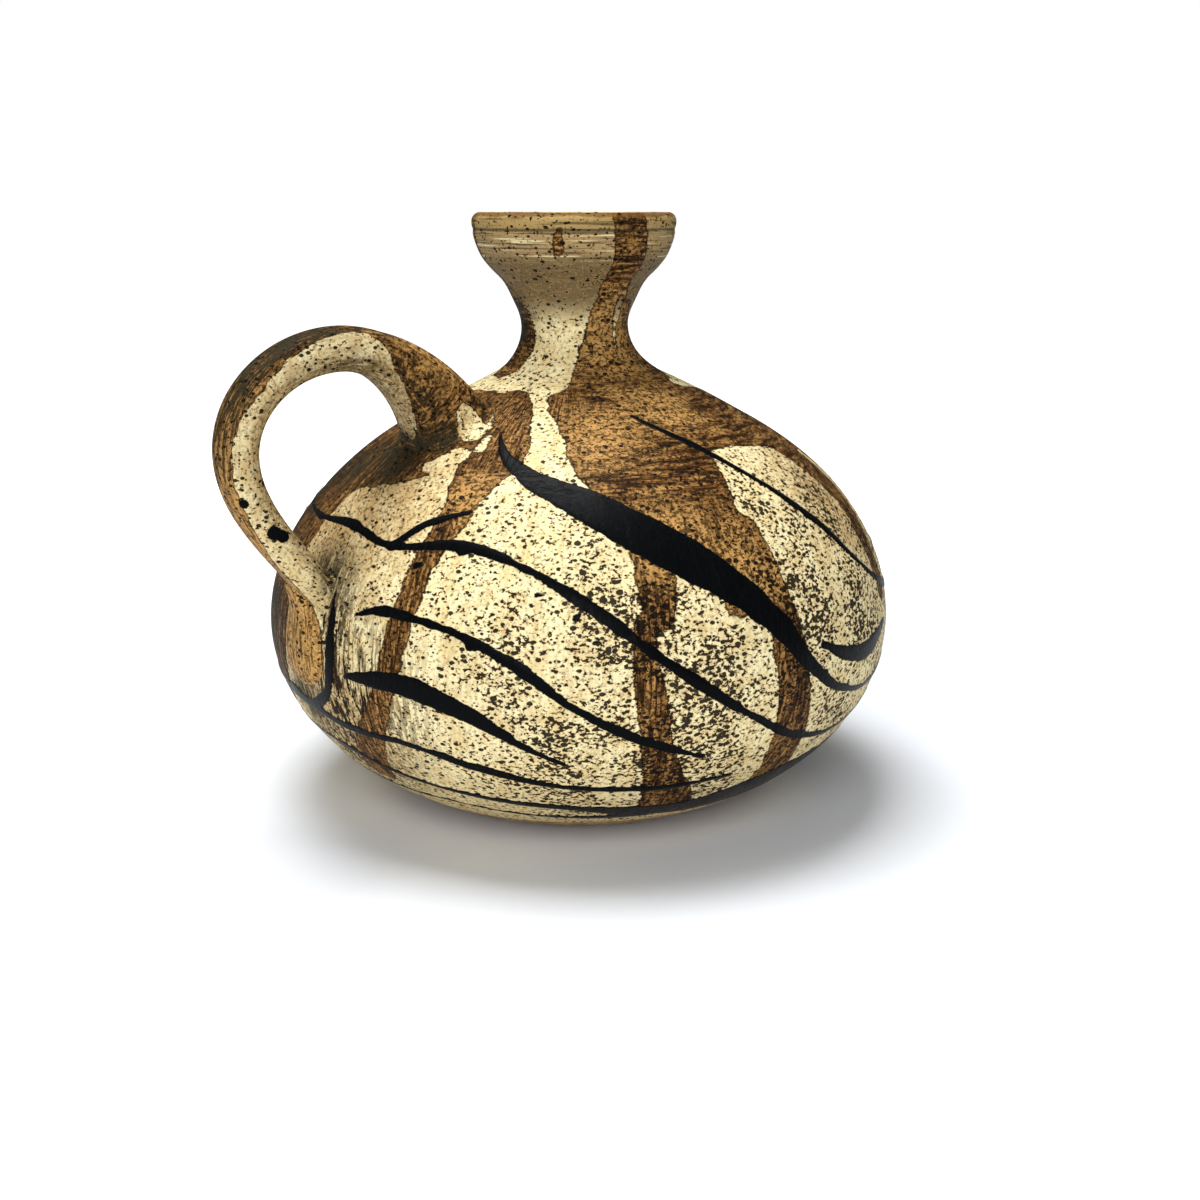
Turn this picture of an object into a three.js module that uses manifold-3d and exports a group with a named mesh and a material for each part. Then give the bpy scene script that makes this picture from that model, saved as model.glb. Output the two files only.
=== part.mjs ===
// Handled vase: a squat stoneware bottle with a cupped mouth and one pulled handle.
// Its clay members are formed apart and joined with slip: the floor, bowl, shoulder, neck, mouth cup
// and lip of the body, and the root, strap and tail of the handle.
// Millimetres, +Z up. The origin is the centre of the flat base, and the handle points along -X.
import * as THREE from "three";
import { mergeVertices } from "three/addons/utils/BufferGeometryUtils.js";
import Module from "manifold-3d";

// Driving dimensions of the turned body
const BASE_RADIUS = 45; // flat face that it stands on
const BELLY_RADIUS = 97; // widest line
const BELLY_HEIGHT = 57; // widest line above the base
const SHOULDER_RISE = 73; // widest line to where the shoulder's ellipse would close
const SHOULDER_SLOPE = 26.6; // degrees from level, where the shoulder runs straight to the neck
const THROAT_RISE = 17; // closing point of the shoulder's ellipse to the narrowest ring
const THROAT_RADIUS = 16.2; // narrowest ring
const NECK_FOOT = 15; // narrowest ring down to where the neck is joined to the shoulder
const FLARE_RISE = 15; // narrowest ring to where the mouth's curve turns inwards
const MOUTH_RISE = 33; // narrowest ring to the top of the lip
const MOUTH_RADIUS = 31;
const CUP_DEPTH = 13; // top of the lip down to the ridge where the mouth is joined to the neck
const LIP_DEPTH = 5; // top of the lip down to the groove under it
const WALL = 5;
const FLOOR = 8;
const SEAM = 0.3; // slip between joined members

// Driving dimensions of the handle
const ROOT_RADIUS = 49; // upper root's place on the shoulder, from the axis
const ROOT_WIDTH = 25; // foot of the upper root
const ROOT_THICKNESS = 24;
const ROOT_LENGTH = 15;
const FLARE_LENGTH = 33; // root's foot to where the strap is plain
const FLARE_POWER = 1.15; // 1 is a straight cone, more is a hollow trumpet
const ARCH_RISE = 23.3; // arch's middle line above the root's place
const ARCH_RADIUS = 83; // arch's top, from the axis
const HANDLE_REACH = 18.5; // outermost middle line beyond the belly's widest line
const HANDLE_DROP = 27; // arch's top down to the outermost point
const LANDING_RISE = 20; // where the strap lands on the belly, above the widest line
const LANDING_LEAN = 36; // degrees from upright, in which the strap comes down
const STRAP_WIDTH = 13.6;
const STRAP_THICKNESS = 12.9;
const STRAP_END_WIDTH = 12;
const STRAP_END_THICKNESS = 9.4;
const TAIL_WIDTH = 25;
const TAIL_RELIEF = 5.5; // how far the tail stands off the belly
const TAIL_LENGTH = 29.5; // landing to the tail's tip, down the belly
const TAIL_TIP_WIDTH = 12;
const TAIL_TIP_RELIEF = 1.8;
const TAIL_SPREAD_END = 0.45; // share of the tail's length at which it is widest
const SQUARENESS = 2.5; // power of the handle's rounded section, 2 is an oval
const QUARTER_ROUND = 0.55; // run of the handles of a cubic curve that draws a quarter ellipse
const LANDING_RUN = 0.38; // share of the last fall over which the strap runs straight

// Fineness
const TURNS = 44; // facets round the body
const BELLY_STEP = 10; // length of a facet up the belly
const NECK_STEP = 4;
const CROWN_STEPS = 6;
const RING_POINTS = 16;
const STRAP_RINGS = 22;
const ROOT_RINGS = 5;
const TAIL_RINGS = 9;
const SEARCH_ROUNDS = 40;
const WELD = 1e-3; // points closer than this are one point

const THROAT_HEIGHT = BELLY_HEIGHT + SHOULDER_RISE + THROAT_RISE;
const HEIGHT = THROAT_HEIGHT + MOUTH_RISE;
const LIP_RADIUS = WALL / 2;

const wasm = await Module();
wasm.setup();

// Outline of the turned body, from the base's edge up to where the lip begins to round over
function makeOutline() {
  const outline = new THREE.Path();
  const lowerAxis = BELLY_HEIGHT / Math.sqrt(1 - (BASE_RADIUS / BELLY_RADIUS) ** 2);
  const baseAngle = -Math.acos(BASE_RADIUS / BELLY_RADIUS);
  outline.absellipse(0, BELLY_HEIGHT, BELLY_RADIUS, lowerAxis, baseAngle, 0, false);

  const slope = THREE.MathUtils.degToRad(SHOULDER_SLOPE);
  const shoulderAngle = Math.atan(SHOULDER_RISE / (BELLY_RADIUS * Math.tan(slope)));
  outline.absellipse(0, BELLY_HEIGHT, BELLY_RADIUS, SHOULDER_RISE, 0, shoulderAngle, false);

  // The throat's arc touches the straight shoulder and stands upright at the narrowest ring.
  const shoulderEnd = outline.currentPoint;
  const inward = (THROAT_RADIUS - shoulderEnd.x) * Math.sin(slope);
  const upward = (THROAT_HEIGHT - shoulderEnd.y) * Math.cos(slope);
  const throatArc = (inward + upward) / (1 - Math.sin(slope));
  const throatStart = 1.5 * Math.PI - slope;
  outline.absarc(THROAT_RADIUS + throatArc, THROAT_HEIGHT, throatArc, throatStart, Math.PI, true);

  // The mouth's flare and its cup are two arcs of one turn, which meet at the flare's height.
  const cupTop = HEIGHT - LIP_RADIUS;
  const turn = 2 * Math.atan((MOUTH_RADIUS - THROAT_RADIUS) / (cupTop - THROAT_HEIGHT));
  const flareArc = FLARE_RISE / Math.sin(turn);
  const cupArc = (cupTop - THROAT_HEIGHT - FLARE_RISE) / Math.sin(turn);
  outline.absarc(THROAT_RADIUS + flareArc, THROAT_HEIGHT, flareArc, Math.PI, Math.PI - turn, true);
  outline.absarc(MOUTH_RADIUS - cupArc, cupTop, cupArc, -turn, 0, false);
  return outline;
}

const outline = makeOutline();
const outlineLength = outline.getLength();

// Point at a length along the outline, moved inwards by a depth
function wallPoint(along, depth = 0) {
  const share = THREE.MathUtils.clamp(along / outlineLength, 0, 1);
  const point = outline.getPointAt(share);
  const tangent = outline.getTangentAt(share);
  return new THREE.Vector2(point.x - tangent.y * depth, point.y + tangent.x * depth);
}

// Length along the outline at which the wall, at a depth, reaches a height
function alongAtHeight(height, depth = 0) {
  let low = 0;
  let high = outlineLength;
  for (let i = 0; i < SEARCH_ROUNDS; i += 1) {
    const middle = (low + high) / 2;
    if (wallPoint(middle, depth).y < height) low = middle;
    else high = middle;
  }
  return low;
}

// Lengths along the outline, from one joint to the next, in near-equal steps
function stations(from, to, step) {
  const count = Math.max(2, Math.round((to - from) / step));
  return Array.from({ length: count + 1 }, (_, i) => from + ((to - from) * i) / count);
}

const wallLine = (lengths, depth) => lengths.map((along) => wallPoint(along, depth));

// Turned solid from a profile that is closed or starts and ends on the axis
function turned(profile) {
  return new THREE.LatheGeometry(profile, TURNS).rotateX(Math.PI / 2);
}

function closedProfile(outer, inner) {
  return [...outer, ...inner.toReversed(), outer[0]];
}

function toSolid(geometry) {
  const bare = geometry.clone();
  bare.deleteAttribute("normal");
  bare.deleteAttribute("uv");
  const merged = mergeVertices(bare, WELD);
  const vertProperties = new Float32Array(merged.attributes.position.array);
  const triVerts = new Uint32Array(merged.index.array);
  return new wasm.Manifold(new wasm.Mesh({ numProp: 3, vertProperties, triVerts }));
}

function fromSolid(solid) {
  const { vertProperties, triVerts } = solid.getMesh();
  const geometry = new THREE.BufferGeometry();
  geometry.setAttribute("position", new THREE.BufferAttribute(vertProperties, 3));
  geometry.setIndex(new THREE.BufferAttribute(triVerts, 1));
  return geometry;
}

// Places of the joints along the outline
const floorJoint = alongAtHeight(FLOOR);
const bowlStart = alongAtHeight(FLOOR + SEAM);
const bellyJoint = alongAtHeight(BELLY_HEIGHT);
const neckJoint = alongAtHeight(THROAT_HEIGHT - NECK_FOOT);
const cupJoint = alongAtHeight(HEIGHT - CUP_DEPTH);
const lipJoint = alongAtHeight(HEIGHT - LIP_DEPTH);

const bowlLengths = stations(bowlStart, bellyJoint - SEAM / 2, BELLY_STEP);
const shoulderLengths = stations(bellyJoint + SEAM / 2, neckJoint - SEAM / 2, BELLY_STEP);
const neckLengths = stations(neckJoint + SEAM / 2, cupJoint - SEAM / 2, NECK_STEP);
const cupLengths = stations(cupJoint + SEAM / 2, lipJoint - SEAM / 2, NECK_STEP);
const lipLengths = stations(lipJoint + SEAM / 2, outlineLength, NECK_STEP);

function floorGeometry() {
  const rim = wallLine(stations(0, floorJoint, BELLY_STEP), 0);
  return turned([new THREE.Vector2(0, 0), ...rim, new THREE.Vector2(0, rim.at(-1).y)]);
}

// The bowl stands on the floor, so its inner face starts at the height where its outer face does.
function bowlGeometry() {
  const innerStart = alongAtHeight(FLOOR + SEAM, WALL);
  const innerLengths = [innerStart, ...bowlLengths.filter((along) => along > innerStart + SEAM)];
  return turned(closedProfile(wallLine(bowlLengths, 0), wallLine(innerLengths, WALL)));
}

const wallGeometry = (lengths) => turned(closedProfile(wallLine(lengths, 0), wallLine(lengths, WALL)));

// The lip rounds over in a half circle as wide as the wall.
function lipGeometry() {
  const outer = wallLine(lipLengths, 0);
  const inner = wallLine(lipLengths, WALL);
  const crown = new THREE.Path();
  crown.absarc(MOUTH_RADIUS - LIP_RADIUS, HEIGHT - LIP_RADIUS, LIP_RADIUS, 0, Math.PI, false);
  return turned(closedProfile([...outer, ...crown.getPoints(CROWN_STEPS).slice(1, -1)], inner));
}

// Solid body grown by the slip's thickness, which cuts the seats of the handle
function seatCutter() {
  const lengths = [...stations(0, bowlStart, BELLY_STEP), ...bowlLengths.slice(1), ...shoulderLengths];
  const grown = wallLine(lengths, -SEAM);
  const bottom = new THREE.Vector2(0, grown[0].y);
  const top = new THREE.Vector2(0, grown.at(-1).y);
  return toSolid(turned([bottom, ...grown, top]));
}

const landingAlong = alongAtHeight(BELLY_HEIGHT + LANDING_RISE);
const onPlane = (point) => new THREE.Vector3(-point.x, 0, point.y);
const flat = (radius, height) => onPlane(new THREE.Vector2(radius, height));

// Length along the outline at which the shoulder, coming in from the belly, reaches a radius
function alongShoulder(radius) {
  let low = bellyJoint;
  let high = neckJoint;
  for (let i = 0; i < SEARCH_ROUNDS; i += 1) {
    const middle = (low + high) / 2;
    if (wallPoint(middle).x > radius) low = middle;
    else high = middle;
  }
  return low;
}

// Middle line of the handle in the upright plane of the -X axis: from inside the shoulder's wall,
// over the arch, out to the reach, and down into the belly's wall
function makeLoop() {
  const rootAlong = alongShoulder(ROOT_RADIUS);
  const rootPoint = wallPoint(rootAlong);
  const archHeight = rootPoint.y + ARCH_RISE;
  const leave = wallPoint(rootAlong, -ARCH_RISE / 2);
  const archRun = (ARCH_RADIUS - leave.x) * QUARTER_ROUND;
  const archTop = flat(ARCH_RADIUS, archHeight);

  const reachRadius = BELLY_RADIUS + HANDLE_REACH;
  const reachHeight = archHeight - HANDLE_DROP;
  const reachRun = (reachRadius - ARCH_RADIUS) * QUARTER_ROUND;
  const reach = flat(reachRadius, reachHeight);

  const landing = onPlane(wallPoint(landingAlong));
  const lean = THREE.MathUtils.degToRad(LANDING_LEAN);
  const downwards = flat(-Math.sin(lean), -Math.cos(lean));
  const straightRun = (reachHeight - landing.z) * LANDING_RUN;
  const approach = landing.clone().addScaledVector(downwards, -straightRun);
  const sunk = landing.clone().addScaledVector(downwards, STRAP_END_THICKNESS);

  const loop = new THREE.CurvePath();
  loop.add(new THREE.LineCurve3(onPlane(wallPoint(rootAlong, WALL / 2)), onPlane(rootPoint)));
  const archStart = flat(ARCH_RADIUS - archRun, archHeight);
  loop.add(new THREE.CubicBezierCurve3(onPlane(rootPoint), onPlane(leave), archStart, archTop));
  const archEnd = flat(ARCH_RADIUS + reachRun, archHeight);
  const reachStart = flat(reachRadius, reachHeight + HANDLE_DROP * QUARTER_ROUND);
  loop.add(new THREE.CubicBezierCurve3(archTop, archEnd, reachStart, reach));
  const reachEnd = flat(reachRadius, reachHeight - straightRun);
  loop.add(new THREE.CubicBezierCurve3(reach, reachEnd, approach, landing));
  loop.add(new THREE.LineCurve3(landing, sunk));
  return loop;
}

// Rounded section across the handle: width along Y, thickness in the handle's plane
function sectionRing(centre, tangent, width, thickness) {
  const across = new THREE.Vector3(0, 1, 0);
  const outward = new THREE.Vector3().crossVectors(tangent, across).normalize();
  const bulge = (value) => Math.sign(value) * Math.abs(value) ** (2 / SQUARENESS);
  return Array.from({ length: RING_POINTS }, (_, i) => {
    const angle = (2 * Math.PI * i) / RING_POINTS;
    return centre
      .clone()
      .addScaledVector(outward, (thickness / 2) * bulge(Math.cos(angle)))
      .addScaledVector(across, (width / 2) * bulge(Math.sin(angle)));
  });
}

function middleOf(ring) {
  const sum = ring.reduce((total, point) => total.add(point), new THREE.Vector3());
  return sum.divideScalar(ring.length);
}

// Solid skin over a row of rings, closed by a fan at each end
function loft(rings) {
  const points = rings.flat();
  const firstCentre = points.length;
  points.push(middleOf(rings[0]), middleOf(rings.at(-1)));
  const lastStart = (rings.length - 1) * RING_POINTS;
  const faces = [];
  for (let i = 0; i < RING_POINTS; i += 1) {
    const next = (i + 1) % RING_POINTS;
    for (let start = 0; start < lastStart; start += RING_POINTS) {
      const above = start + RING_POINTS;
      faces.push(start + i, above + i, start + next, start + next, above + i, above + next);
    }
    faces.push(firstCentre, i, next, firstCentre + 1, lastStart + next, lastStart + i);
  }
  const geometry = new THREE.BufferGeometry().setFromPoints(points);
  geometry.setIndex(faces);
  return geometry;
}

const loop = makeLoop();
const loopLength = loop.getLength();
const loopStart = loop.curves[0].getLength();

// Size of the strap's section at a length from the shoulder: a flared foot, then an even taper
function strapSize(fromShoulder, foot, plain, end) {
  const flare = THREE.MathUtils.clamp(1 - fromShoulder / FLARE_LENGTH, 0, 1);
  const plainLength = loopLength - loopStart - FLARE_LENGTH;
  const taper = THREE.MathUtils.clamp((fromShoulder - FLARE_LENGTH) / plainLength, 0, 1);
  return THREE.MathUtils.lerp(plain, end, taper) + (foot - plain) * flare ** FLARE_POWER;
}

// Rings of the handle between two lengths of its middle line, grown on all sides by a margin
function strapRings(from, to, count, margin = 0) {
  return stations(from, to, (to - from) / count).map((along) => {
    const share = along / loopLength;
    const fromShoulder = along - loopStart;
    const width = strapSize(fromShoulder, ROOT_WIDTH, STRAP_WIDTH, STRAP_END_WIDTH);
    const thickness = strapSize(fromShoulder, ROOT_THICKNESS, STRAP_THICKNESS, STRAP_END_THICKNESS);
    const centre = loop.getPointAt(share);
    const tangent = loop.getTangentAt(share);
    return sectionRing(centre, tangent, width + 2 * margin, thickness + 2 * margin);
  });
}

const seat = seatCutter();
const seated = (solid) => solid.subtract(seat);

const strapStart = loopStart + ROOT_LENGTH + SEAM / 2;
const rootEnd = strapStart - SEAM;
const rootGeometry = () => fromSolid(seated(toSolid(loft(strapRings(0, rootEnd, ROOT_RINGS)))));

function strapSolid(margin) {
  return toSolid(loft(strapRings(strapStart, loopLength, STRAP_RINGS, margin)));
}

const strapGeometry = () => fromSolid(seated(strapSolid(0)));

// The tail starts under the strap, spreads where it was pressed on, and narrows to its tip.
function tailGeometry() {
  const rings = stations(0, TAIL_LENGTH, TAIL_LENGTH / TAIL_RINGS).map((down) => {
    const share = down / TAIL_LENGTH;
    const spread = THREE.MathUtils.smoothstep(share, 0, TAIL_SPREAD_END);
    const narrowing = THREE.MathUtils.smoothstep(share, TAIL_SPREAD_END, 1);
    const underStrap = STRAP_END_WIDTH - 2 * SEAM;
    const spreadWidth = THREE.MathUtils.lerp(underStrap, TAIL_WIDTH, spread);
    const width = THREE.MathUtils.lerp(spreadWidth, TAIL_TIP_WIDTH, narrowing);
    const relief = THREE.MathUtils.lerp(TAIL_RELIEF, TAIL_TIP_RELIEF, share);
    const along = landingAlong - down;
    const tangent = outline.getTangentAt(along / outlineLength);
    const downTheBelly = new THREE.Vector3(tangent.x, 0, -tangent.y);
    return sectionRing(onPlane(wallPoint(along)), downTheBelly, width, 2 * relief);
  });
  return fromSolid(seated(toSolid(loft(rings))).subtract(strapSolid(SEAM)));
}

const glaze = (color, roughness) => new THREE.MeshStandardMaterial({ color, roughness, metalness: 0 });
const creamGlaze = glaze(0xe3cf9b, 0.45);
const brownGlaze = glaze(0x9a6c36, 0.5);
const lipGlaze = glaze(0xc9ac66, 0.4);
const bareClay = glaze(0xb08a5c, 0.85);

const vase = new THREE.Group();
vase.name = "handled_vase";

function addMember(name, geometry, material) {
  const member = new THREE.Mesh(geometry, material);
  member.name = name;
  vase.add(member);
}

addMember("base_slab", floorGeometry(), bareClay);
addMember("belly_bowl", bowlGeometry(), creamGlaze);
addMember("shoulder_dome", wallGeometry(shoulderLengths), brownGlaze);
addMember("neck_collar", wallGeometry(neckLengths), creamGlaze);
addMember("mouth_cup", wallGeometry(cupLengths), creamGlaze);
addMember("rim_lip", lipGeometry(), lipGlaze);
addMember("handle_root", rootGeometry(), brownGlaze);
addMember("handle_strap", strapGeometry(), creamGlaze);
addMember("handle_tail", tailGeometry(), brownGlaze);

export default vase;
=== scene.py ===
import math
import random
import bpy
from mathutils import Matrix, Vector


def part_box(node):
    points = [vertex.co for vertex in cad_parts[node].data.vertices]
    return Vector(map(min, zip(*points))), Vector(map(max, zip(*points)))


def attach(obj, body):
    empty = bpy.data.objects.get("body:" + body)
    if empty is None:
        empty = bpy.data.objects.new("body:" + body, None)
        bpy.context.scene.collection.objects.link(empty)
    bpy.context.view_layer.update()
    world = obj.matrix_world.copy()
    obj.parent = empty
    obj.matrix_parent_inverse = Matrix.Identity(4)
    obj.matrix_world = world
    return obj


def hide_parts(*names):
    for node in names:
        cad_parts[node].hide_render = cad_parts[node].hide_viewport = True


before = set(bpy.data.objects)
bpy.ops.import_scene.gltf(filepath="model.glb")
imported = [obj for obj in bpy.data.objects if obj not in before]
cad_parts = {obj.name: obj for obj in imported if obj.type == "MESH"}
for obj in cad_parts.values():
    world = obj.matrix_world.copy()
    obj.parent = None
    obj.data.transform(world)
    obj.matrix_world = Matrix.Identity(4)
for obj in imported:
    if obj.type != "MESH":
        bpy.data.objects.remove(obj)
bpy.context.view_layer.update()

from types import SimpleNamespace

import bmesh
import bpy
import numpy as np
from mathutils import Vector
from mathutils.geometry import interpolate_bezier


# Base slab
# The vase stands on a flat disc of coarse stoneware clay, beaten out on the wheel. A wire cut it free,
# so its underside is bare and shows the wire's arcs, and its edge was rounded with a wet sponge.
MM = 0.001
FRONT = math.radians(232)  # direction from the axis to the camera
BASE_RADIUS = 45 * MM
EDGE_ROUND = 0.8 * MM
SHOULDER_RISE = 73 * MM  # widest line to the top of the shoulder's curve
SHOULDER_SLOPE = math.radians(26.6)
THROAT_RISE = 17 * MM  # top of the shoulder's curve to the narrowest ring
THROAT_RADIUS = 16.2 * MM
FLARE_RISE = 15 * MM  # narrowest ring to where the mouth's curve turns inwards
WALL = 5 * MM
OUTLINE_STEP = 0.25 * MM
ARC_POINTS = 200
SLAB_TURNS = 240
WEDGES = 24  # parts of the circle that one spin is repeated in
SEAM = 0.002 * MM  # vertices closer than this are welded
SHARP_ANGLE = math.radians(50)
SLAB_STILL = 1 / 3  # share of the base's radius that stays true

BELLY_SHIFT = 1.2 * MM  # how far the belly leans to the right, seen from the front
SHOULDER_SAG = 1.2 * MM  # how much flatter the shoulder is in front: none at the right, double at the left
SAG_HEIGHT = 105 * MM
SAG_SPREAD = 22 * MM
FULL_RISE = 2.2 * MM  # how much fuller the right shoulder is, below the neck
FULL_HEIGHT = 127 * MM
FULL_SPREAD = 9 * MM

SWELL_HEIGHT = 155 * MM
SWELL_RISE = 1.1 * MM
SWELL_SPREAD = 6 * MM
RIDGE_HEIGHT = 167 * MM
RIDGE_RISE = 0.12 * MM
RIDGE_SPREAD = 2.0 * MM
GROOVE_HEIGHT = 175 * MM
GROOVE_DEPTH = 0.3 * MM
GROOVE_SPREAD = 0.8 * MM

CLAY_LIGHT = (0.47, 0.29, 0.12, 1)
CLAY_DARK = (0.20, 0.11, 0.045, 1)
GROG = (0.07, 0.045, 0.025, 1)

slab_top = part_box("base_slab")[1][2]
belly_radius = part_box("shoulder_dome")[1][0]
belly_height = (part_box("belly_bowl")[1][2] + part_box("shoulder_dome")[0][2]) / 2
mouth_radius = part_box("rim_lip")[1][0]
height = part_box("rim_lip")[1][2]
throat_height = belly_height + SHOULDER_RISE + THROAT_RISE


def arc(centre, radii, start, end):
    """Points on an upright ellipse between two angles, as radius and height."""
    angles = np.linspace(start, end, ARC_POINTS)
    across = centre[0] + radii[0] * np.cos(angles)
    upward = centre[1] + radii[1] * np.sin(angles)
    return np.column_stack((across, upward))


def wall_outline():
    """Outside of the turned wall from the floor to the lip: two belly arcs, the throat, flare and cup."""
    low_rise = belly_height / math.sqrt(1 - (BASE_RADIUS / belly_radius) ** 2)
    base_angle = -math.acos(BASE_RADIUS / belly_radius)
    bowl_arc = arc((0, belly_height), (belly_radius, low_rise), base_angle, 0)
    shoulder_angle = math.atan(SHOULDER_RISE / (belly_radius * math.tan(SHOULDER_SLOPE)))
    shoulder_arc = arc((0, belly_height), (belly_radius, SHOULDER_RISE), 0, shoulder_angle)

    end_radius, end_height = shoulder_arc[-1]
    inwards = (THROAT_RADIUS - end_radius) * math.sin(SHOULDER_SLOPE)
    upwards = (throat_height - end_height) * math.cos(SHOULDER_SLOPE)
    bend = (inwards + upwards) / (1 - math.sin(SHOULDER_SLOPE))
    bend_centre = (THROAT_RADIUS + bend, throat_height)
    throat_arc = arc(bend_centre, (bend, bend), 1.5 * math.pi - SHOULDER_SLOPE, math.pi)

    cup_top = height - WALL / 2
    turn = 2 * math.atan((mouth_radius - THROAT_RADIUS) / (cup_top - throat_height))
    flare = FLARE_RISE / math.sin(turn)
    flare_arc = arc((THROAT_RADIUS + flare, throat_height), (flare, flare), math.pi, math.pi - turn)
    cup = (cup_top - throat_height - FLARE_RISE) / math.sin(turn)
    cup_arc = arc((mouth_radius - cup, cup_top), (cup, cup), -turn, 0)
    return np.vstack((bowl_arc, shoulder_arc[1:], throat_arc, flare_arc[1:], cup_arc[1:]))


def evenly(points, step):
    """The same line with points a step apart, and the length along it at each of them."""
    lengths = np.concatenate(([0], np.cumsum(np.linalg.norm(np.diff(points, axis=0), axis=1))))
    stations = np.linspace(0, lengths[-1], round(lengths[-1] / step) + 1)
    columns = [np.interp(stations, lengths, column) for column in points.T]
    return np.column_stack(columns), stations


outline, outline_along = evenly(wall_outline(), OUTLINE_STEP)
outline_tangent = np.gradient(outline, outline_along, axis=0)
outline_normal = np.column_stack((outline_tangent[:, 1], -outline_tangent[:, 0]))


def wall_line(low, high, step, depth=0):
    """Points of the wall between two heights, a step apart and moved inwards by a depth."""
    start, end = np.interp((low, high), outline[:, 1], outline_along)
    stations = np.linspace(start, end, round((end - start) / step) + 1)
    line = [np.interp(stations, outline_along, column) for column in outline.T]
    normal = [np.interp(stations, outline_along, column) for column in outline_normal.T]
    return np.column_stack((line[0] - depth * normal[0], line[1] - depth * normal[1]))


def hump(value, middle, spread):
    """One in the middle of a soft swell, falling to nothing on both sides."""
    return np.exp(-(((value - middle) / spread) ** 2))


def polar(places):
    """Angle round the axis and distance from it."""
    return np.arctan2(places[..., 1], places[..., 0]), np.hypot(places[..., 0], places[..., 1])


def unevenness(level, angle):
    """How far the hand-made wall stands out from a true turned one, at a height and round the axis."""
    side = np.sin(angle - FRONT)
    belly_share = np.clip((throat_height - level) / SHOULDER_RISE, 0, 1)
    sag = hump(level, SAG_HEIGHT, SAG_SPREAD)
    full = np.clip(side, 0, 1) * hump(level, FULL_HEIGHT, FULL_SPREAD)
    return BELLY_SHIFT * side * belly_share - SHOULDER_SAG * (1 - side) * sag + FULL_RISE * full


def wall_radius(level, angle):
    """Radius of the wall's outside at a height and round the axis."""
    return np.interp(level, outline[:, 1], outline[:, 0]) + unevenness(level, angle)


def wall_normal(places):
    """The wall's outward direction at places near it."""
    angle, _ = polar(places)
    out = np.interp(places[..., 2], outline[:, 1], outline_normal[:, 0])
    up = np.interp(places[..., 2], outline[:, 1], outline_normal[:, 1])
    return np.stack((out * np.cos(angle), out * np.sin(angle), up), axis=-1)


def turned_marks(level):
    """Height of the turning tool's marks: the flare's swell, the cup's soft ridge and the lip's groove."""
    swell = SWELL_RISE * hump(level, SWELL_HEIGHT, SWELL_SPREAD)
    ridge = RIDGE_RISE * hump(level, RIDGE_HEIGHT, RIDGE_SPREAD)
    groove = GROOVE_DEPTH * hump(level, GROOVE_HEIGHT, GROOVE_SPREAD)
    return swell + ridge - groove


def turned(name, profile, turns, closed=True):
    """A piece spun round the axis from a profile of radius and height, one wedge first and then the rest."""
    bm = bmesh.new()
    corners = [bm.verts.new((radius, 0, level)) for radius, level in profile]
    ends = corners[1:] + corners[:1] if closed else corners[1:]
    edges = [bm.edges.new(pair) for pair in zip(corners, ends)]
    wedge = 2 * math.pi / WEDGES
    axis = (0, 0, 1)
    bmesh.ops.spin(bm, geom=corners + edges, axis=axis, angle=wedge, steps=turns // WEDGES)
    whole = bm.verts[:] + bm.edges[:] + bm.faces[:]
    rest = WEDGES - 1
    bmesh.ops.spin(bm, geom=whole, axis=axis, angle=wedge * rest, steps=rest, use_duplicate=True)
    return finished(name, bm)


def finished(name, bm):
    """The mesh as a smooth object in the scene, with its seams welded and its faces turned outward."""
    bmesh.ops.remove_doubles(bm, verts=bm.verts, dist=SEAM)
    bmesh.ops.recalc_face_normals(bm, faces=bm.faces)
    mesh = bpy.data.meshes.new(name)
    bm.to_mesh(mesh)
    bm.free()
    mesh.shade_smooth()
    mesh.set_sharp_from_angle(angle=SHARP_ANGLE)
    piece = bpy.data.objects.new(name, mesh)
    bpy.context.collection.objects.link(piece)
    return piece


def corner_places(mesh):
    """The mesh's vertex places as an array."""
    places = np.empty(len(mesh.vertices) * 3)
    mesh.vertices.foreach_get("co", places)
    return places.reshape(-1, 3)


def throw(piece):
    """Moves a turned piece's wall in and out, as the potter's hand left it."""
    places = corner_places(piece.data)
    angle, reach = polar(places)
    from_middle = np.clip(reach / (SLAB_STILL * BASE_RADIUS) - 1, 0, 1)
    near_wall = from_middle if piece.name == "slab" else 1
    shift = unevenness(places[:, 2], angle) * near_wall
    places[:, 0] += shift * np.cos(angle)
    places[:, 1] += shift * np.sin(angle)
    piece.data.vertices.foreach_set("co", places.ravel())
    piece.data.update()


def new_material(name):
    """A material with its node tree and its Principled shader."""
    material = bpy.data.materials.new(name)
    material.use_nodes = True
    return material, material.node_tree, material.node_tree.nodes["Principled BSDF"]


def add_node(tree, kind, sockets=(), **settings):
    """A shader node, with sockets given as values or as other nodes' outputs."""
    made = tree.nodes.new(kind)
    for key, value in settings.items():
        setattr(made, key, value)
    for key, value in dict(sockets).items():
        if isinstance(value, bpy.types.NodeSocket):
            tree.links.new(value, made.inputs[key])
        else:
            made.inputs[key].default_value = value
    return made


def maths(tree, operation, first, second=0.0):
    return add_node(tree, "ShaderNodeMath", {0: first, 1: second}, operation=operation).outputs[0]


def ramp(tree, value, low, high, start=0.0, end=1.0):
    """A value carried smoothly from one range to another."""
    sockets = {0: value, 1: low, 2: high, 3: start, 4: end}
    return add_node(tree, "ShaderNodeMapRange", sockets, interpolation_type="SMOOTHSTEP").outputs[0]


def blend(tree, factor, first, second):
    """A colour between two others."""
    sockets = {0: factor, 6: first, 7: second}
    return add_node(tree, "ShaderNodeMix", sockets, data_type="RGBA").outputs[2]


def times(tree, first, second):
    return maths(tree, "MULTIPLY", first, second)


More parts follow.
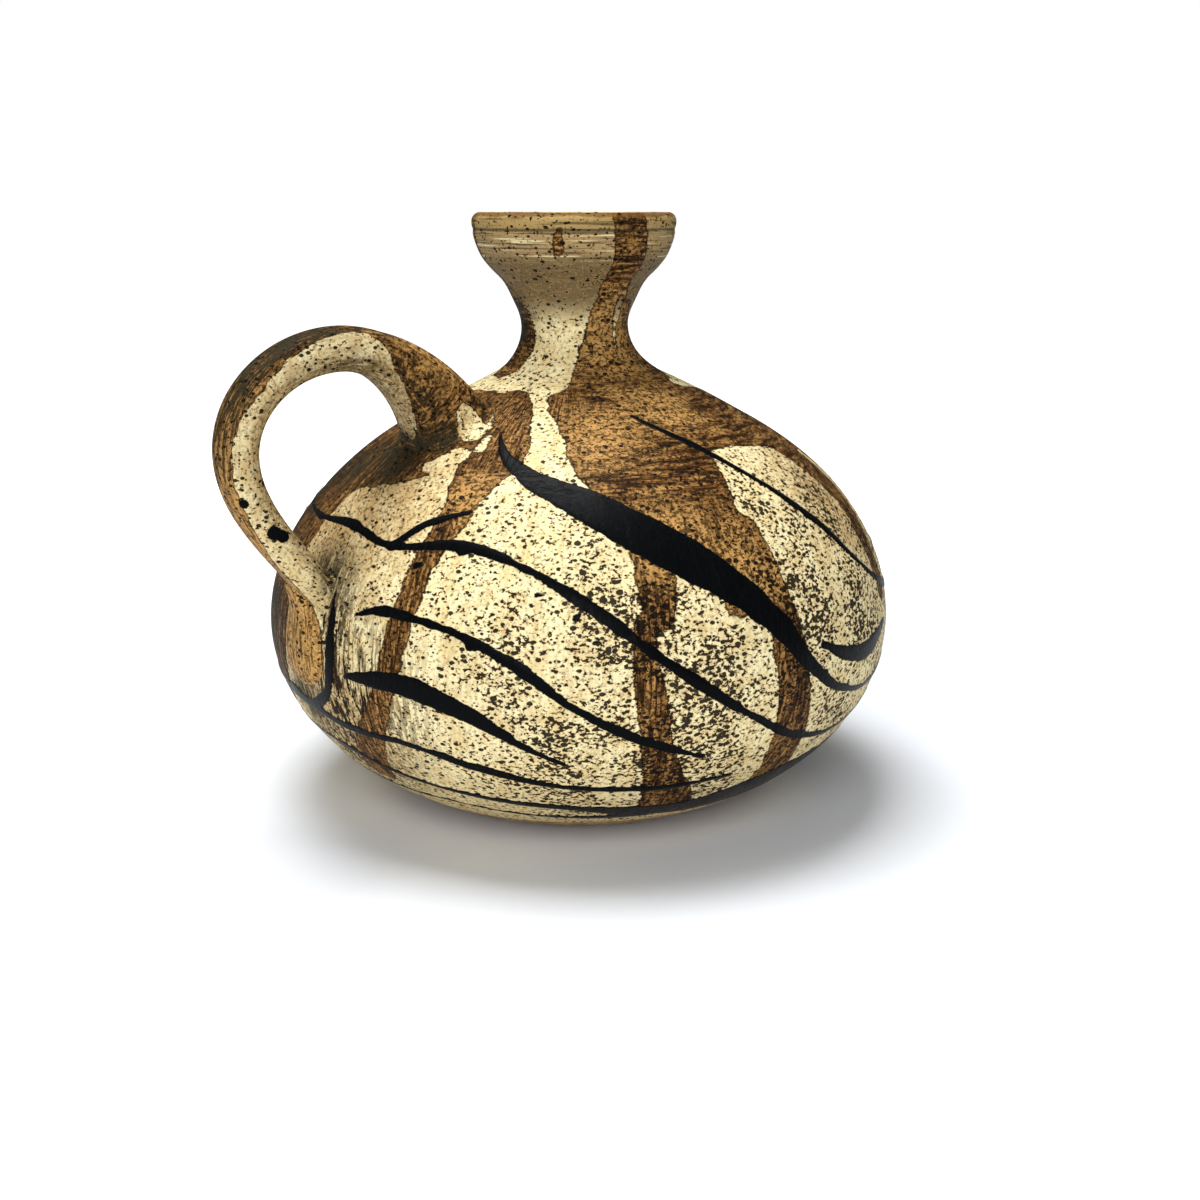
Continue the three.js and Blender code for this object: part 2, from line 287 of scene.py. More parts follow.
def tint(tree, base, colour, share, second_share=None):
    """A colour tinted with another, by one share or by the product of two."""
    factor = share if second_share is None else times(tree, share, second_share)
    return blend(tree, factor, base, colour)


def between(tree, factor, first, second):
    """A number between two others."""
    return add_node(tree, "ShaderNodeMix", {0: factor, 2: first, 3: second}).outputs[0]


def stretched(tree, vector, scale):
    return add_node(tree, "ShaderNodeMapping", {"Vector": vector, "Scale": scale}).outputs[0]


def noise(tree, vector, scale, detail=3.0, roughness=0.55):
    sockets = {"Vector": vector, "Scale": scale, "Detail": detail, "Roughness": roughness}
    return add_node(tree, "ShaderNodeTexNoise", sockets).outputs[0]


def new_group(name, inputs, outputs):
    """A shader node group with named number or vector inputs and number outputs."""
    group = bpy.data.node_groups.new(name, "ShaderNodeTree")
    for label, kind in inputs.items():
        group.interface.new_socket(label, in_out="INPUT", socket_type=kind)
    for label in outputs:
        group.interface.new_socket(label, in_out="OUTPUT", socket_type="NodeSocketFloat")
    entry = group.nodes.new("NodeGroupInput").outputs
    leave = group.nodes.new("NodeGroupOutput").inputs
    return group, entry, leave


def use_group(tree, group, sockets):
    return add_node(tree, "ShaderNodeGroup", sockets, node_tree=group).outputs


FLECK_BLUR = 0.07  # softness of a dot's edge, as a share of its cell


def fleck_group():
    """Iron spots: the cells of a random scatter, each with a dot of its own size at its heart."""
    inputs = {"Vector": "NodeSocketVector", "Scale": "NodeSocketFloat", "Size": "NodeSocketFloat"}
    group, entry, leave = new_group("iron flecks", inputs, ["Fleck"])
    sockets = {"Vector": entry["Vector"], "Scale": entry["Scale"]}
    cells = add_node(group, "ShaderNodeTexVoronoi", sockets)
    chance = add_node(group, "ShaderNodeSeparateColor", {0: cells.outputs["Color"]}).outputs[0]
    limit = times(group, maths(group, "POWER", chance, 2.0), entry["Size"])
    soft = maths(group, "ADD", limit, FLECK_BLUR)
    sockets = {0: cells.outputs["Distance"], 1: soft, 2: limit, 3: 0.0, 4: 1.0}
    dots = add_node(group, "ShaderNodeMapRange", sockets).outputs[0]
    group.links.new(dots, leave["Fleck"])
    return group


FLECKS = fleck_group()
CLAY_STREAKS = 260  # this scale and the next two are in waves or cells per metre
GROG_CELLS = 800
WIRE_SPACING = 320
WIRE_CENTRE = (0.13, -0.09, 0.0)
WIRE_DEPTH = 0.2 * MM

slab_side = wall_line(EDGE_ROUND, slab_top, MM)
slab_foot = [(0, 0), (BASE_RADIUS / 2, 0), (BASE_RADIUS - EDGE_ROUND, 0)]
slab_profile = [*slab_foot, *slab_side, (BASE_RADIUS / 2, slab_top), (0, slab_top)]
base_slab = turned("slab", slab_profile, SLAB_TURNS, closed=False)
throw(base_slab)

bare_clay, tree, shader = new_material("bare clay")
coords = add_node(tree, "ShaderNodeTexCoord").outputs["Object"]
streaks = noise(tree, stretched(tree, coords, (1, 1, 6)), CLAY_STREAKS, 5.0, 0.6)
clay = blend(tree, ramp(tree, streaks, 0.35, 0.68), CLAY_LIGHT, CLAY_DARK)
grit = use_group(tree, FLECKS, {"Vector": coords, "Scale": GROG_CELLS, "Size": 0.5})["Fleck"]
tree.links.new(blend(tree, grit, clay, GROG), shader.inputs["Base Color"])
off_centre = add_node(tree, "ShaderNodeMapping", {"Vector": coords, "Location": WIRE_CENTRE}).outputs[0]
wire = {"Vector": off_centre, "Scale": WIRE_SPACING, "Distortion": 2.0, "Detail": 2.0}
wire_arcs = add_node(tree, "ShaderNodeTexWave", wire, wave_type="RINGS", rings_direction="Z")
relief = maths(tree, "ADD", wire_arcs.outputs["Fac"], streaks)
sockets = {"Height": relief, "Strength": 0.5, "Distance": WIRE_DEPTH}
tree.links.new(add_node(tree, "ShaderNodeBump", sockets).outputs[0], shader.inputs["Normal"])
shader.inputs["Roughness"].default_value = 0.85
base_slab.data.materials.append(bare_clay)
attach(base_slab, "root")
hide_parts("base_slab")


# Belly bowl
# The lower half of the body, thrown in stoneware as a wide bowl. It was dipped in a cream glaze, brown
# iron glaze was poured over it in runs, and black glaze was trailed on top before the firing.
BOWL_STEP = 0.5 * MM
BOWL_TURNS = 720
INSIDE_STEP = 9 * MM

CREAM_LIGHT = (0.96, 0.85, 0.50, 1)
CREAM_DARK = (0.82, 0.65, 0.32, 1)
TAN = (0.50, 0.32, 0.125, 1)
# Grey glaze that is also painted shade: the flare and the cup's lower curve face down, and these tints are
# darkened to stand in for their shade
NECK_GREY_AND_SHADE = (0.145, 0.100, 0.046, 1)
CUP_GREY_AND_SHADE = (0.42, 0.292, 0.134, 1)
OLIVE = (0.033, 0.028, 0.014, 1)
GOLD = (0.62, 0.35, 0.110, 1)
OCHRE = (0.29, 0.143, 0.043, 1)
BROWN = (0.14, 0.062, 0.016, 1)
BROWN_DARK = (0.022, 0.010, 0.003, 1)
IRON_BLACK = (0.006, 0.004, 0.003, 1)
BLACK_GLAZE = (0.002, 0.0024, 0.003, 1)

RUN_FLOW = 1.4 * MM  # how far apart poured runs still flow together
TRAIL_FLOW = 0.7 * MM
RUN_THICKNESS = 0.10 * MM
TRAIL_THICKNESS = 0.28 * MM
SOFT_EDGE = 0.5 * MM
SAMPLE_STEP = 0.6  # spacing of a stroke's samples, in degrees and millimetres
SAMPLE_BATCH = 16
FINEST = 0.1  # least half width of a stroke in millimetres
FAR = 12 * MM

# Each stroke is a line of points: degrees round from the front to the right, height and half width in mm.
NECK_RUNS = [
    [(32, 178, 5.6), (35, 168, 5.8), (36, 157, 5.0), (33, 147, 5.4), (36, 139, 8), (40, 131, 14)],
    [(60, 152, 3), (66, 144, 6), (70, 136, 10)],
    [(-78, 178, 3), (-84, 168, 4), (-80, 158, 4), (-74, 150, 6), (-69, 142, 7), (-66, 136, 8)],
    [(150, 178, 6), (146, 168, 6), (140, 156, 5), (143, 147, 6), (150, 138, 9), (158, 130, 12)],
    [(-8, 174.5, 1.2), (-9, 171, 1.7), (-9.5, 169, 1.2)],
]
SHOULDER_RUNS = [
    [(-9, 127.5, 1.8), (0, 125, 5), (13, 120, 8.5), (30, 121, 14), (52, 122, 16), (76, 120, 17),
     (104, 116, 17)],
    [(29, 140, 5.5), (22, 134, 8.5), (10, 130, 7.5), (-1, 127, 4)],
    [(-6, 126, 3.4), (2, 120, 5.5), (5, 113, 6.2), (11, 107, 7.5)],
    [(24, 129, 6), (16, 124, 7), (11, 115, 7)],
    [(104, 116, 17), (130, 118, 14), (158, 120, 16), (190, 116, 15), (214, 121, 11)],
    [(-31, 127, 4.6), (-24, 122, 5.6), (-19, 114, 5.8), (-24, 108, 6)],
    [(-39, 117, 9), (-47, 113, 12), (-58, 111, 13), (-73, 110, 16), (-92, 110, 18), (-118, 116, 12)],
    [(-48, 125, 7), (-64, 124, 8), (-80, 122, 9)],
    [(-75, 108, 15), (-73, 98, 16), (-73, 86, 15), (-71, 74, 15), (-71, 56, 14), (-74, 42, 11),
     (-80, 26, 6)],
    [(16, 110, 8), (16, 100, 8), (14, 88, 6), (14, 77, 4)],
    [(29, 112, 10), (28, 99, 9), (29, 88, 6), (28, 78, 4)],
    [(74, 112, 9), (76, 96, 7), (73, 84, 5), (72, 70, 4)],
]
BELLY_RUNS = [
    [(-25, 111, 7), (-25, 102, 5), (-28, 89, 3.8), (-31, 66, 3.8), (-34, 50, 3.8), (-44, 24, 6)],
    [(11, 74, 3), (11, 66, 3.4), (12, 54, 4.2), (14, 37, 4.8), (19, 18, 8)],
    [(35, 96, 4), (35, 86, 5), (37, 66, 6), (39, 47, 6.2), (42, 22, 7)],
    [(92, 110, 8), (94, 88, 6), (92, 62, 6), (96, 38, 7), (94, 16, 9)],
    [(128, 112, 7), (126, 84, 4), (128, 60, 4), (126, 44, 5)],
    [(160, 116, 9), (158, 92, 7), (161, 66, 5.5), (158, 40, 6), (162, 14, 8)],
    [(196, 112, 8), (198, 88, 5), (195, 70, 4.5), (197, 52, 5)],
    [(-132, 112, 8), (-130, 92, 6), (-133, 70, 5), (-131, 42, 5), (-134, 16, 8)],
    [(-106, 112, 8), (-108, 96, 5), (-106, 82, 4)],
]
# Places where the brown glaze was rubbed off again, in the same measures. A fourth number is the distance
# from the axis in mm, where the stroke lies on the handle's root.
RUBBED_OFF = [
    [(-38.3, 123.6, 3.0, 50.5), (-37.1, 120.9, 4.2, 49.8), (-35, 118.6, 3.6, 51.2)],
    [(-40, 110, 2.4), (-37, 111.4, 3.8), (-34.5, 112.6, 3.8), (-32, 113.6, 2.6)],
    [(46.5, 156, 0.9), (48, 149, 0.7), (46, 144, 0.45), (43.5, 140, 0.6), (42, 136, 0.3)],
    [(-86, 128, 0.8), (-66, 130, 1.3), (-48, 133, 1.5), (-38, 139, 2.6)],
    [(150, 112, 2.0), (154, 109, 3.2), (158, 108, 1.6)],
]


def smooth_line(points):
    """A smooth line through points, sampled closely."""
    points = np.array(points, float)
    ends = np.vstack((2 * points[0] - points[1], points, 2 * points[-1] - points[-2]))
    pieces = []
    for before, start, end, after in zip(ends, ends[1:], ends[2:], ends[3:]):
        count = max(2, round(float(np.abs(end - start)[:2].sum()) / SAMPLE_STEP))
        t = np.linspace(0, 1, count, endpoint=False)[:, None]
        bend = 2 * before - 5 * start + 4 * end - after
        twist = 3 * start - before - 3 * end + after
        pieces.append(start + 0.5 * ((end - before) * t + bend * t**2 + twist * t**3))
    return np.vstack((*pieces, points[-1:]))


def poured(points):
    """Samples of a stroke: three coordinates and the half width."""
    line = smooth_line(points)
    angle = FRONT + np.radians(line[:, 0])
    level = line[:, 1] * MM
    off_wall = line.shape[1] == 4
    reach = line[:, 3] * MM if off_wall else wall_radius(level, angle)
    half_width = np.maximum(line[:, 2], FINEST) * MM
    return np.column_stack((reach * np.cos(angle), reach * np.sin(angle), level, half_width))


def edge_distance(places, strokes, flow):
    """Distance from each place to the nearest stroke's edge, below zero inside it."""
    pull = np.full(len(places), 1e-30)
    for stroke in strokes:
        gap = np.full(len(places), FAR)
        for batch in np.array_split(stroke, math.ceil(len(stroke) / SAMPLE_BATCH)):
            margin = batch[:, 3].max() + FAR
            low = batch[:, :3].min(axis=0) - margin
            high = batch[:, :3].max(axis=0) + margin
            near = np.flatnonzero(np.all((places > low) & (places < high), axis=1))
            apart = places[near, None] - batch[None, :, :3]
            edge = np.sqrt(np.einsum("ijk,ijk->ij", apart, apart)) - batch[:, 3]
            gap[near] = np.minimum(gap[near], edge.min(axis=1))
        pull += np.exp(-gap / flow) * (gap < FAR)
    return np.minimum(-flow * np.log(pull), FAR)


SPATTER_DROPS = 46
SPATTER_SEED = 11
SPATTER_HEIGHTS = (24, 104)
SPATTER_SIZES = (0.5, 1.1)
SPATTER_SLIP = (0.3, 1.4)  # how far a drop is drawn out, in degrees
SPATTER_LIFT = 0.3
SPATTER_TAPER = 0.8


def spatter(count, chance):
    """Small drops thrown off the trailing tool."""
    drops = []
    for _ in range(count):
        turn = chance.uniform(-180, 180)
        level = chance.uniform(*SPATTER_HEIGHTS)
        size = chance.uniform(*SPATTER_SIZES)
        slipped = turn + chance.uniform(*SPATTER_SLIP)
        tail = (slipped, level + SPATTER_LIFT, size * SPATTER_TAPER)
        drops.append([(turn, level, size), tail])
    return drops


FRONT_TRAILS = [
    [(-25, 119, 0.5), (-19, 114, 1.6), (-10, 109, 3.2), (3, 103, 5.4), (17, 93, 6.4),
     (28, 82, 5.0), (36, 70, 3.4)],
    [(36, 70, 3.4), (42, 58, 2.2), (50, 49, 1.3), (62, 44, 1.0), (78, 46, 1.5), (96, 53, 1.0)],
    [(22, 123, 0.8), (35, 116, 1.4), (46, 106, 1.0), (55, 94, 1.7), (63, 81, 1.0), (74, 71, 1.4),
     (92, 66, 0.9)],
    [(-66, 93, 0.9), (-51, 94, 1.5), (-37, 91, 1.0), (-21, 93, 1.7), (-8, 88, 1.1), (3, 79, 1.9),
     (12, 68, 1.2)],
    [(12, 68, 1.2), (21, 57, 1.7), (30, 47, 1.0), (40, 38, 1.5), (54, 33, 1.0), (74, 36, 1.3)],
    [(-40, 73, 0.6), (-33, 75, 1.5), (-20, 72, 1.0), (-9, 64, 1.7), (0, 53, 1.1), (10, 44, 1.6),
     (22, 36, 0.8)],
    [(-42, 55, 0.5), (-37, 56, 2.0), (-28, 56, 3.2), (-17, 50, 2.6), (-9, 42, 1.2), (-2, 36, 0.8)],
    [(-62, 44, 1.0), (-46, 39, 1.5), (-30, 38, 1.1), (-17, 33, 1.7), (-3, 28, 1.2), (14, 26, 1.4),
     (30, 27, 0.8)],
    [(45, 63, 0.9), (52, 58, 2.2), (61, 56, 2.8), (71, 60, 1.4)],
    [(-37, 91, 1.0), (-31, 97, 1.3), (-22, 101, 0.8)],
    [(-46.6, 77, 0.5), (-45.8, 68, 1.5), (-45.8, 58, 1.9), (-47.2, 49, 1.7), (-52, 43.5, 1.6),
     (-58, 41.5, 1.2), (-66, 41.5, 0.7)],
]
BACK_TRAILS = [
    [(96, 53, 1.0), (112, 61, 1.6), (128, 73, 3.0), (142, 86, 5.4), (156, 97, 6.2),
     (172, 104, 4.4), (192, 107, 2.0)],
    [(192, 107, 2.0), (212, 103, 1.2), (232, 98, 1.6), (256, 95, 1.0), (294, 93, 0.9)],
    [(92, 66, 0.9), (106, 77, 1.6), (122, 91, 1.1), (138, 105, 1.7), (156, 114, 1.1),
     (178, 118, 1.5), (200, 117, 0.9)],
    [(74, 36, 1.3), (92, 37, 1.0), (112, 45, 1.6), (130, 57, 1.1), (148, 70, 1.8), (166, 82, 1.2),
     (186, 89, 1.6)],
    [(186, 89, 1.6), (208, 88, 1.0), (230, 80, 1.5), (252, 78, 1.0), (268, 82, 0.8)],
    [(150, 47, 1.0), (166, 54, 2.4), (182, 62, 3.2), (198, 66, 2.0), (212, 66, 0.9)],
    [(120, 31, 1.0), (144, 38, 1.5), (168, 42, 1.1), (192, 48, 1.7), (216, 50, 1.1),
     (240, 45, 1.5), (298, 44, 1.0)],
]
BASE_BAND = [
    [(-90, 32, 0.8), (-57, 31, 1.1), (-40, 26, 1.3), (-27, 22.5, 1.2), (-14, 20, 1.6),
     (0, 18, 2.0), (11, 15.5, 3.6)],
    [(11, 15.5, 3.6), (26, 14.5, 5.6), (40, 17, 8.5), (55, 19, 10), (76, 20, 10), (98, 17, 8)],
    [(98, 17, 8), (130, 14, 6), (170, 13, 3.6), (208, 16, 2), (240, 24, 1.2), (270, 32, 0.8)],
    [(-76, 22, 0.6), (-45, 17, 0.8), (-28, 16, 0.7), (-12, 13.5, 0.9), (4, 12.5, 1.4), (16, 13, 2.4)],
]
drops = spatter(SPATTER_DROPS, random.Random(SPATTER_SEED))
trail_lines = FRONT_TRAILS + BACK_TRAILS + BASE_BAND + drops
run_strokes = [poured(points) for points in NECK_RUNS + SHOULDER_RUNS + BELLY_RUNS]
bare_strokes = [poured(points) for points in RUBBED_OFF]
trail_strokes = [poured(points) for points in trail_lines]

# Each spot is a place on the wall and how far it reaches: degrees from the front, height and reach in mm.
WIPED_SPOTS = [(-48, 66, 24), (-42, 48, 36), (-48, 28, 32)]
# Grime spots round the handle's root, at its landing and below the tail are olive grime and also painted
# shade at those joints; the others only darken the wall.
GRIME_AND_SHADE_SPOTS = [(-58, 113, 19), (-52, 109, 13), (-70, 107, 17), (-51, 79, 18), (-57, 43, 13)]
GRIME_AND_SHADE_SPOTS += [(-90, 98, 34), (-76, 62, 24), (-78, 148, 14)]
# The first three stain spots, on and below the handle, are partly painted shadow of the handle; the others
# are stains.
STAIN_AND_SHADE_SPOTS = [(-52, 98, 46), (-60, 70, 40), (-46, 40, 34), (70, 100, 34), (150, 90, 60), (-120, 90, 60)]
SPECKLE_SPOTS = [(54, 72, 80), (10, 54, 74), (16, 34, 60), (120, 60, 90), (190, 50, 90), (-120, 50, 80)]
GOLD_SPOTS = [(6, 119, 22), (38, 125, 19), (34, 140, 20), (32, 147, 18), (18, 94, 20)]
GOLD_SPOTS += [(32, 84, 20), (150, 110, 40), (-24, 104, 12)]
FALL_SPOTS = [(-26, 122, 26), (-60, 112, 24)]
BRUSH_STRETCH = 9.0  # how much longer the brushed streaks are than wide
FALL_STRETCH = 8.0  # the same for streaks that run down
SPOT_GAIN = 1.4  # above 1 a spot is full over its middle
NECK_SPECKLE = 0.15
NECK_SPECKLE_START = 148 * MM
NECK_SPECKLE_RISE = 10 * MM
FALL_TOP = 106 * MM  # above this the brush went round the wall, below it the streaks run down
FALL_FADE = 8 * MM
FALL_GAIN = 3


def nearness(places, spots):
    """One in the middle of the nearest spot, falling to nothing at its reach."""
    best = np.zeros(len(places))
    for turn, level, reach in spots:
        middle = poured([(turn, level, 1), (turn + 1, level, 1)])[0, :3]
        gap = np.linalg.norm(places - middle, axis=1) / (reach * MM)
        best = np.maximum(best, np.clip(SPOT_GAIN * (1 - gap), 0, 1))
    return best


def glaze_wall(piece):
    """Writes where the glazes lie on a turned piece, and raises its outside by their thickness."""
    mesh = piece.data
    places = corner_places(mesh)
    angle, reach = polar(places)
    outside = wall_radius(places[:, 2], angle) - reach < WALL / 2
    run_edge = edge_distance(places, run_strokes, RUN_FLOW)
    bare_edge = edge_distance(places, bare_strokes, RUN_FLOW)
    run_edge = np.maximum(run_edge, -bare_edge)
    trail_edge = edge_distance(places, trail_strokes, TRAIL_FLOW)
    lift = RUN_THICKNESS * np.clip(0.5 - run_edge / SOFT_EDGE, 0, 1)
    lift += TRAIL_THICKNESS * np.clip(0.5 - trail_edge / SOFT_EDGE, 0, 1)
    lift += turned_marks(places[:, 2])
    on_neck = NECK_SPECKLE * np.clip((places[:, 2] - NECK_SPECKLE_START) / NECK_SPECKLE_RISE, 0, 1)
    low_down = np.clip((FALL_TOP - places[:, 2]) / FALL_FADE, 0, 1)
    numbers = {
        "run_edge": run_edge / MM,
        "trail_edge": trail_edge / MM,
        "wiped": nearness(places, WIPED_SPOTS),
        "grime": nearness(places, GRIME_AND_SHADE_SPOTS) * np.clip(0.5 + bare_edge / MM, 0, 1),
        "stain": nearness(places, STAIN_AND_SHADE_SPOTS),
        "speckle": np.maximum(nearness(places, SPECKLE_SPOTS), on_neck),
        "gold": nearness(places, GOLD_SPOTS),
        "falling": np.maximum(low_down, np.clip(FALL_GAIN * nearness(places, FALL_SPOTS), 0, 1)),
    }
    for name, values in numbers.items():
        mesh.attributes.new(name, "FLOAT", "POINT").data.foreach_set("value", values)
    around = places[:, :2] / reach[:, None] * belly_radius * FALL_STRETCH
    down = np.interp(places[:, 2], outline[:, 1], outline_along)
    vectors = {"brush": places * (1, 1, BRUSH_STRETCH), "fall": np.column_stack((around, down))}
    for name, values in vectors.items():
        mesh.attributes.new(name, "FLOAT_VECTOR", "POINT").data.foreach_set("vector", values.ravel())
    places += wall_normal(places) * (lift * outside)[:, None]
    mesh.vertices.foreach_set("co", places.ravel())
    mesh.update()


# Noise scales of the glazes, in waves or cells per metre
EDGE_WANDER = 190
EDGE_TEARS = 170
STREAK_PATCHES = 45
STREAK_LINES = 115


def edge_group():
    """A poured glaze's wandering edge, torn along the brush's way: where it lies, and its dark border."""
    vectors = {"Vector": "NodeSocketVector", "Brush": "NodeSocketVector"}
    numbers = {"Distance": "NodeSocketFloat", "Wander": "NodeSocketFloat", "Torn": "NodeSocketFloat"}
    group, entry, leave = new_group("glaze edge", {**vectors, **numbers}, ["Inside", "Rim"])
    wander = maths(group, "SUBTRACT", noise(group, entry["Vector"], EDGE_WANDER, 3.0), 0.5)
    torn = maths(group, "SUBTRACT", noise(group, entry["Brush"], EDGE_TEARS, 4.0, 0.65), 0.5)
    edge = maths(group, "ADD", entry["Distance"], times(group, wander, entry["Wander"]))
    edge = maths(group, "ADD", edge, times(group, torn, entry["Torn"]))
    group.links.new(ramp(group, edge, 0.12, -0.12), leave["Inside"])
    away = maths(group, "ABSOLUTE", maths(group, "ADD", edge, 0.1))
    group.links.new(ramp(group, away, 0.42, 0.1), leave["Rim"])
    return group


def streak_group():
    """Brushed streaks: coarse patches of colour, and fine dark and pale lines along the brush's way."""
    inputs = {"Vector": "NodeSocketVector", "DirtAndShade": "NodeSocketFloat"}
    group, entry, leave = new_group("brushed streaks", inputs, ["Patch", "Dark", "Pale"])
    patch = noise(group, entry["Vector"], STREAK_PATCHES, 5.0, 0.65)
    line = noise(group, entry["Vector"], STREAK_LINES, 5.0, 0.72)
    dirty_and_shaded = maths(group, "ADD", line, times(group, entry["DirtAndShade"], 0.09))
    group.links.new(ramp(group, patch, 0.40, 0.60), leave["Patch"])
    group.links.new(ramp(group, dirty_and_shaded, 0.51, 0.57), leave["Dark"])
    group.links.new(ramp(group, dirty_and_shaded, 0.47, 0.41), leave["Pale"])
    return group


EDGES = edge_group()
STREAKS = streak_group()


def attribute(tree, name, output="Fac"):
    return add_node(tree, "ShaderNodeAttribute", attribute_name=name).outputs[output]


# More noise scales, from the colours' mottle to single scratches
MOTTLE = 170
GRAIN = 740
GRIT = 1050
CRUMBS = 780
DOTS = 480
CLOUDS = 55
SCRATCHES = 120
FLATTENED = (1, 1, 1.4)  # makes grain and flecks wider than high
# Heights at which the ground's tints begin and are full; on the flare and the cup the tints are grey glaze
# and painted shade
FOOT_TAN = (60 * MM, 14 * MM)
FLARE_TINT = (145 * MM, 156 * MM)
CUP_TINT = (165 * MM, 170 * MM)
CUP_RIBS = (165 * MM, 168 * MM)
GROOVE_DARK_LINE = (0.7 * MM, 0.2 * MM)  # distances from the groove at which its dark olive line begins and is full
LIP_WEAR = 2.4 * MM  # how far down the lip's glaze may be worn
LIP_WEAR_EDGE = 0.4 * MM


def glaze_patterns(tree):
    """The patterns that mix a glaze's colours: places, the brush's streaks, grain and flecks."""
    p = SimpleNamespace()
    p.coords = add_node(tree, "ShaderNodeTexCoord").outputs["Object"]
    p.flat = stretched(tree, p.coords, FLATTENED)
    p.level = add_node(tree, "ShaderNodeSeparateXYZ", {0: p.coords}).outputs[2]
    p.brush = attribute(tree, "brush", "Vector")
    p.grime = attribute(tree, "grime")
    p.gold = attribute(tree, "gold")
    fall = attribute(tree, "fall", "Vector")
    falling = attribute(tree, "falling")
    brushed = use_group(tree, STREAKS, {"Vector": p.brush, "DirtAndShade": p.grime})
    run_down = use_group(tree, STREAKS, {"Vector": fall, "DirtAndShade": p.grime})
    p.patch = between(tree, falling, brushed["Patch"], run_down["Patch"])
    p.dark = between(tree, falling, brushed["Dark"], run_down["Dark"])
    p.pale = between(tree, falling, brushed["Pale"], run_down["Pale"])
    p.mottle = noise(tree, p.coords, MOTTLE, 4.0, 0.6)
    p.grain = noise(tree, p.flat, GRAIN, 2.0, 0.5)
    p.grit = noise(tree, p.coords, GRIT, 2.0, 0.5)
    cloudy = ramp(tree, noise(tree, p.coords, CLOUDS, 3.0), 0.38, 0.6, 0.3, 1.0)
    p.crowd = times(tree, cloudy, attribute(tree, "speckle"))
    sparse = ramp(tree, p.crowd, 0.0, 1.0, 0.617, 0.505)
    p.crumbs = maths(tree, "SUBTRACT", noise(tree, p.flat, CRUMBS, 2.5, 0.55), sparse)
    return p


def cream_ground(tree, p, light, dark, flare, cup):
    """The dipped glaze: mottled, tan where stained and where the handle's shadow is painted, grey with
    painted shade on the flare and cup, gritty, wiped in streaks, and lined by the rib.
    """
    ground = tint(tree, light, dark, ramp(tree, p.mottle, 0.35, 0.7))
    ground = tint(tree, ground, TAN, ramp(tree, p.level, *FOOT_TAN, 0.0, 0.28))
    # tan where stained, and painted shadow of the handle below it
    stain = times(tree, attribute(tree, "stain"), ramp(tree, p.mottle, 0.3, 0.65, 0.45, 0.85))
    ground = tint(tree, ground, TAN, stain)
    # grey on the flare and the cup: the glaze's own grey and painted shade
    ground = tint(tree, ground, flare, ramp(tree, p.level, *FLARE_TINT, 0.0, 0.97))
    ground = tint(tree, ground, cup, ramp(tree, p.level, *CUP_TINT, 0.0, 0.9))
    ground = tint(tree, ground, TAN, p.dark, 0.22)
    grit = ramp(tree, p.grit, 0.51, 0.57)
    ground = tint(tree, ground, NECK_GREY_AND_SHADE, grit, ramp(tree, stain, 0.0, 0.8, 0.15, 0.6))
    ground = tint(tree, ground, TAN, ramp(tree, p.crumbs, -0.09, 0.0, 0.0, 0.6))
    upright = noise(tree, stretched(tree, p.coords, (6, 6, 0.5)), SCRATCHES, 5.0, 0.7)
    ground = tint(tree, ground, BROWN_DARK, ramp(tree, upright, 0.47, 0.53), attribute(tree, "wiped"))
    rib = noise(tree, stretched(tree, p.coords, (0.3, 0.3, 12)), SCRATCHES, 2.0)
    on_cup = ramp(tree, p.level, *CUP_RIBS, 0.0, 0.7)
    ground = tint(tree, ground, OLIVE, ramp(tree, rib, 0.56, 0.64), on_cup)
    return tint(tree, ground, light, ramp(tree, rib, 0.42, 0.34), on_cup)


def brown_run(tree, p, gold_streaks, gold_grain):
    """The poured iron glaze: ochre and brown, golden in places, with dark streaks and grain."""
    brown = tint(tree, OCHRE, BROWN, p.patch)
    brown = tint(tree, brown, GOLD, p.gold, 0.7)
    brown = tint(tree, brown, GOLD, p.pale, 0.5)
    brown = tint(tree, brown, BROWN_DARK, p.dark, ramp(tree, p.gold, 0.0, 1.0, 0.95, gold_streaks))
    grain = ramp(tree, p.grain, 0.53, 0.56)
    grit = ramp(tree, p.grit, 0.55, 0.60, 0.0, 0.8)
    speckled = maths(tree, "MAXIMUM", grain, grit)
    return tint(tree, brown, BROWN_DARK, speckled, ramp(tree, p.gold, 0.0, 1.0, 0.75, gold_grain))


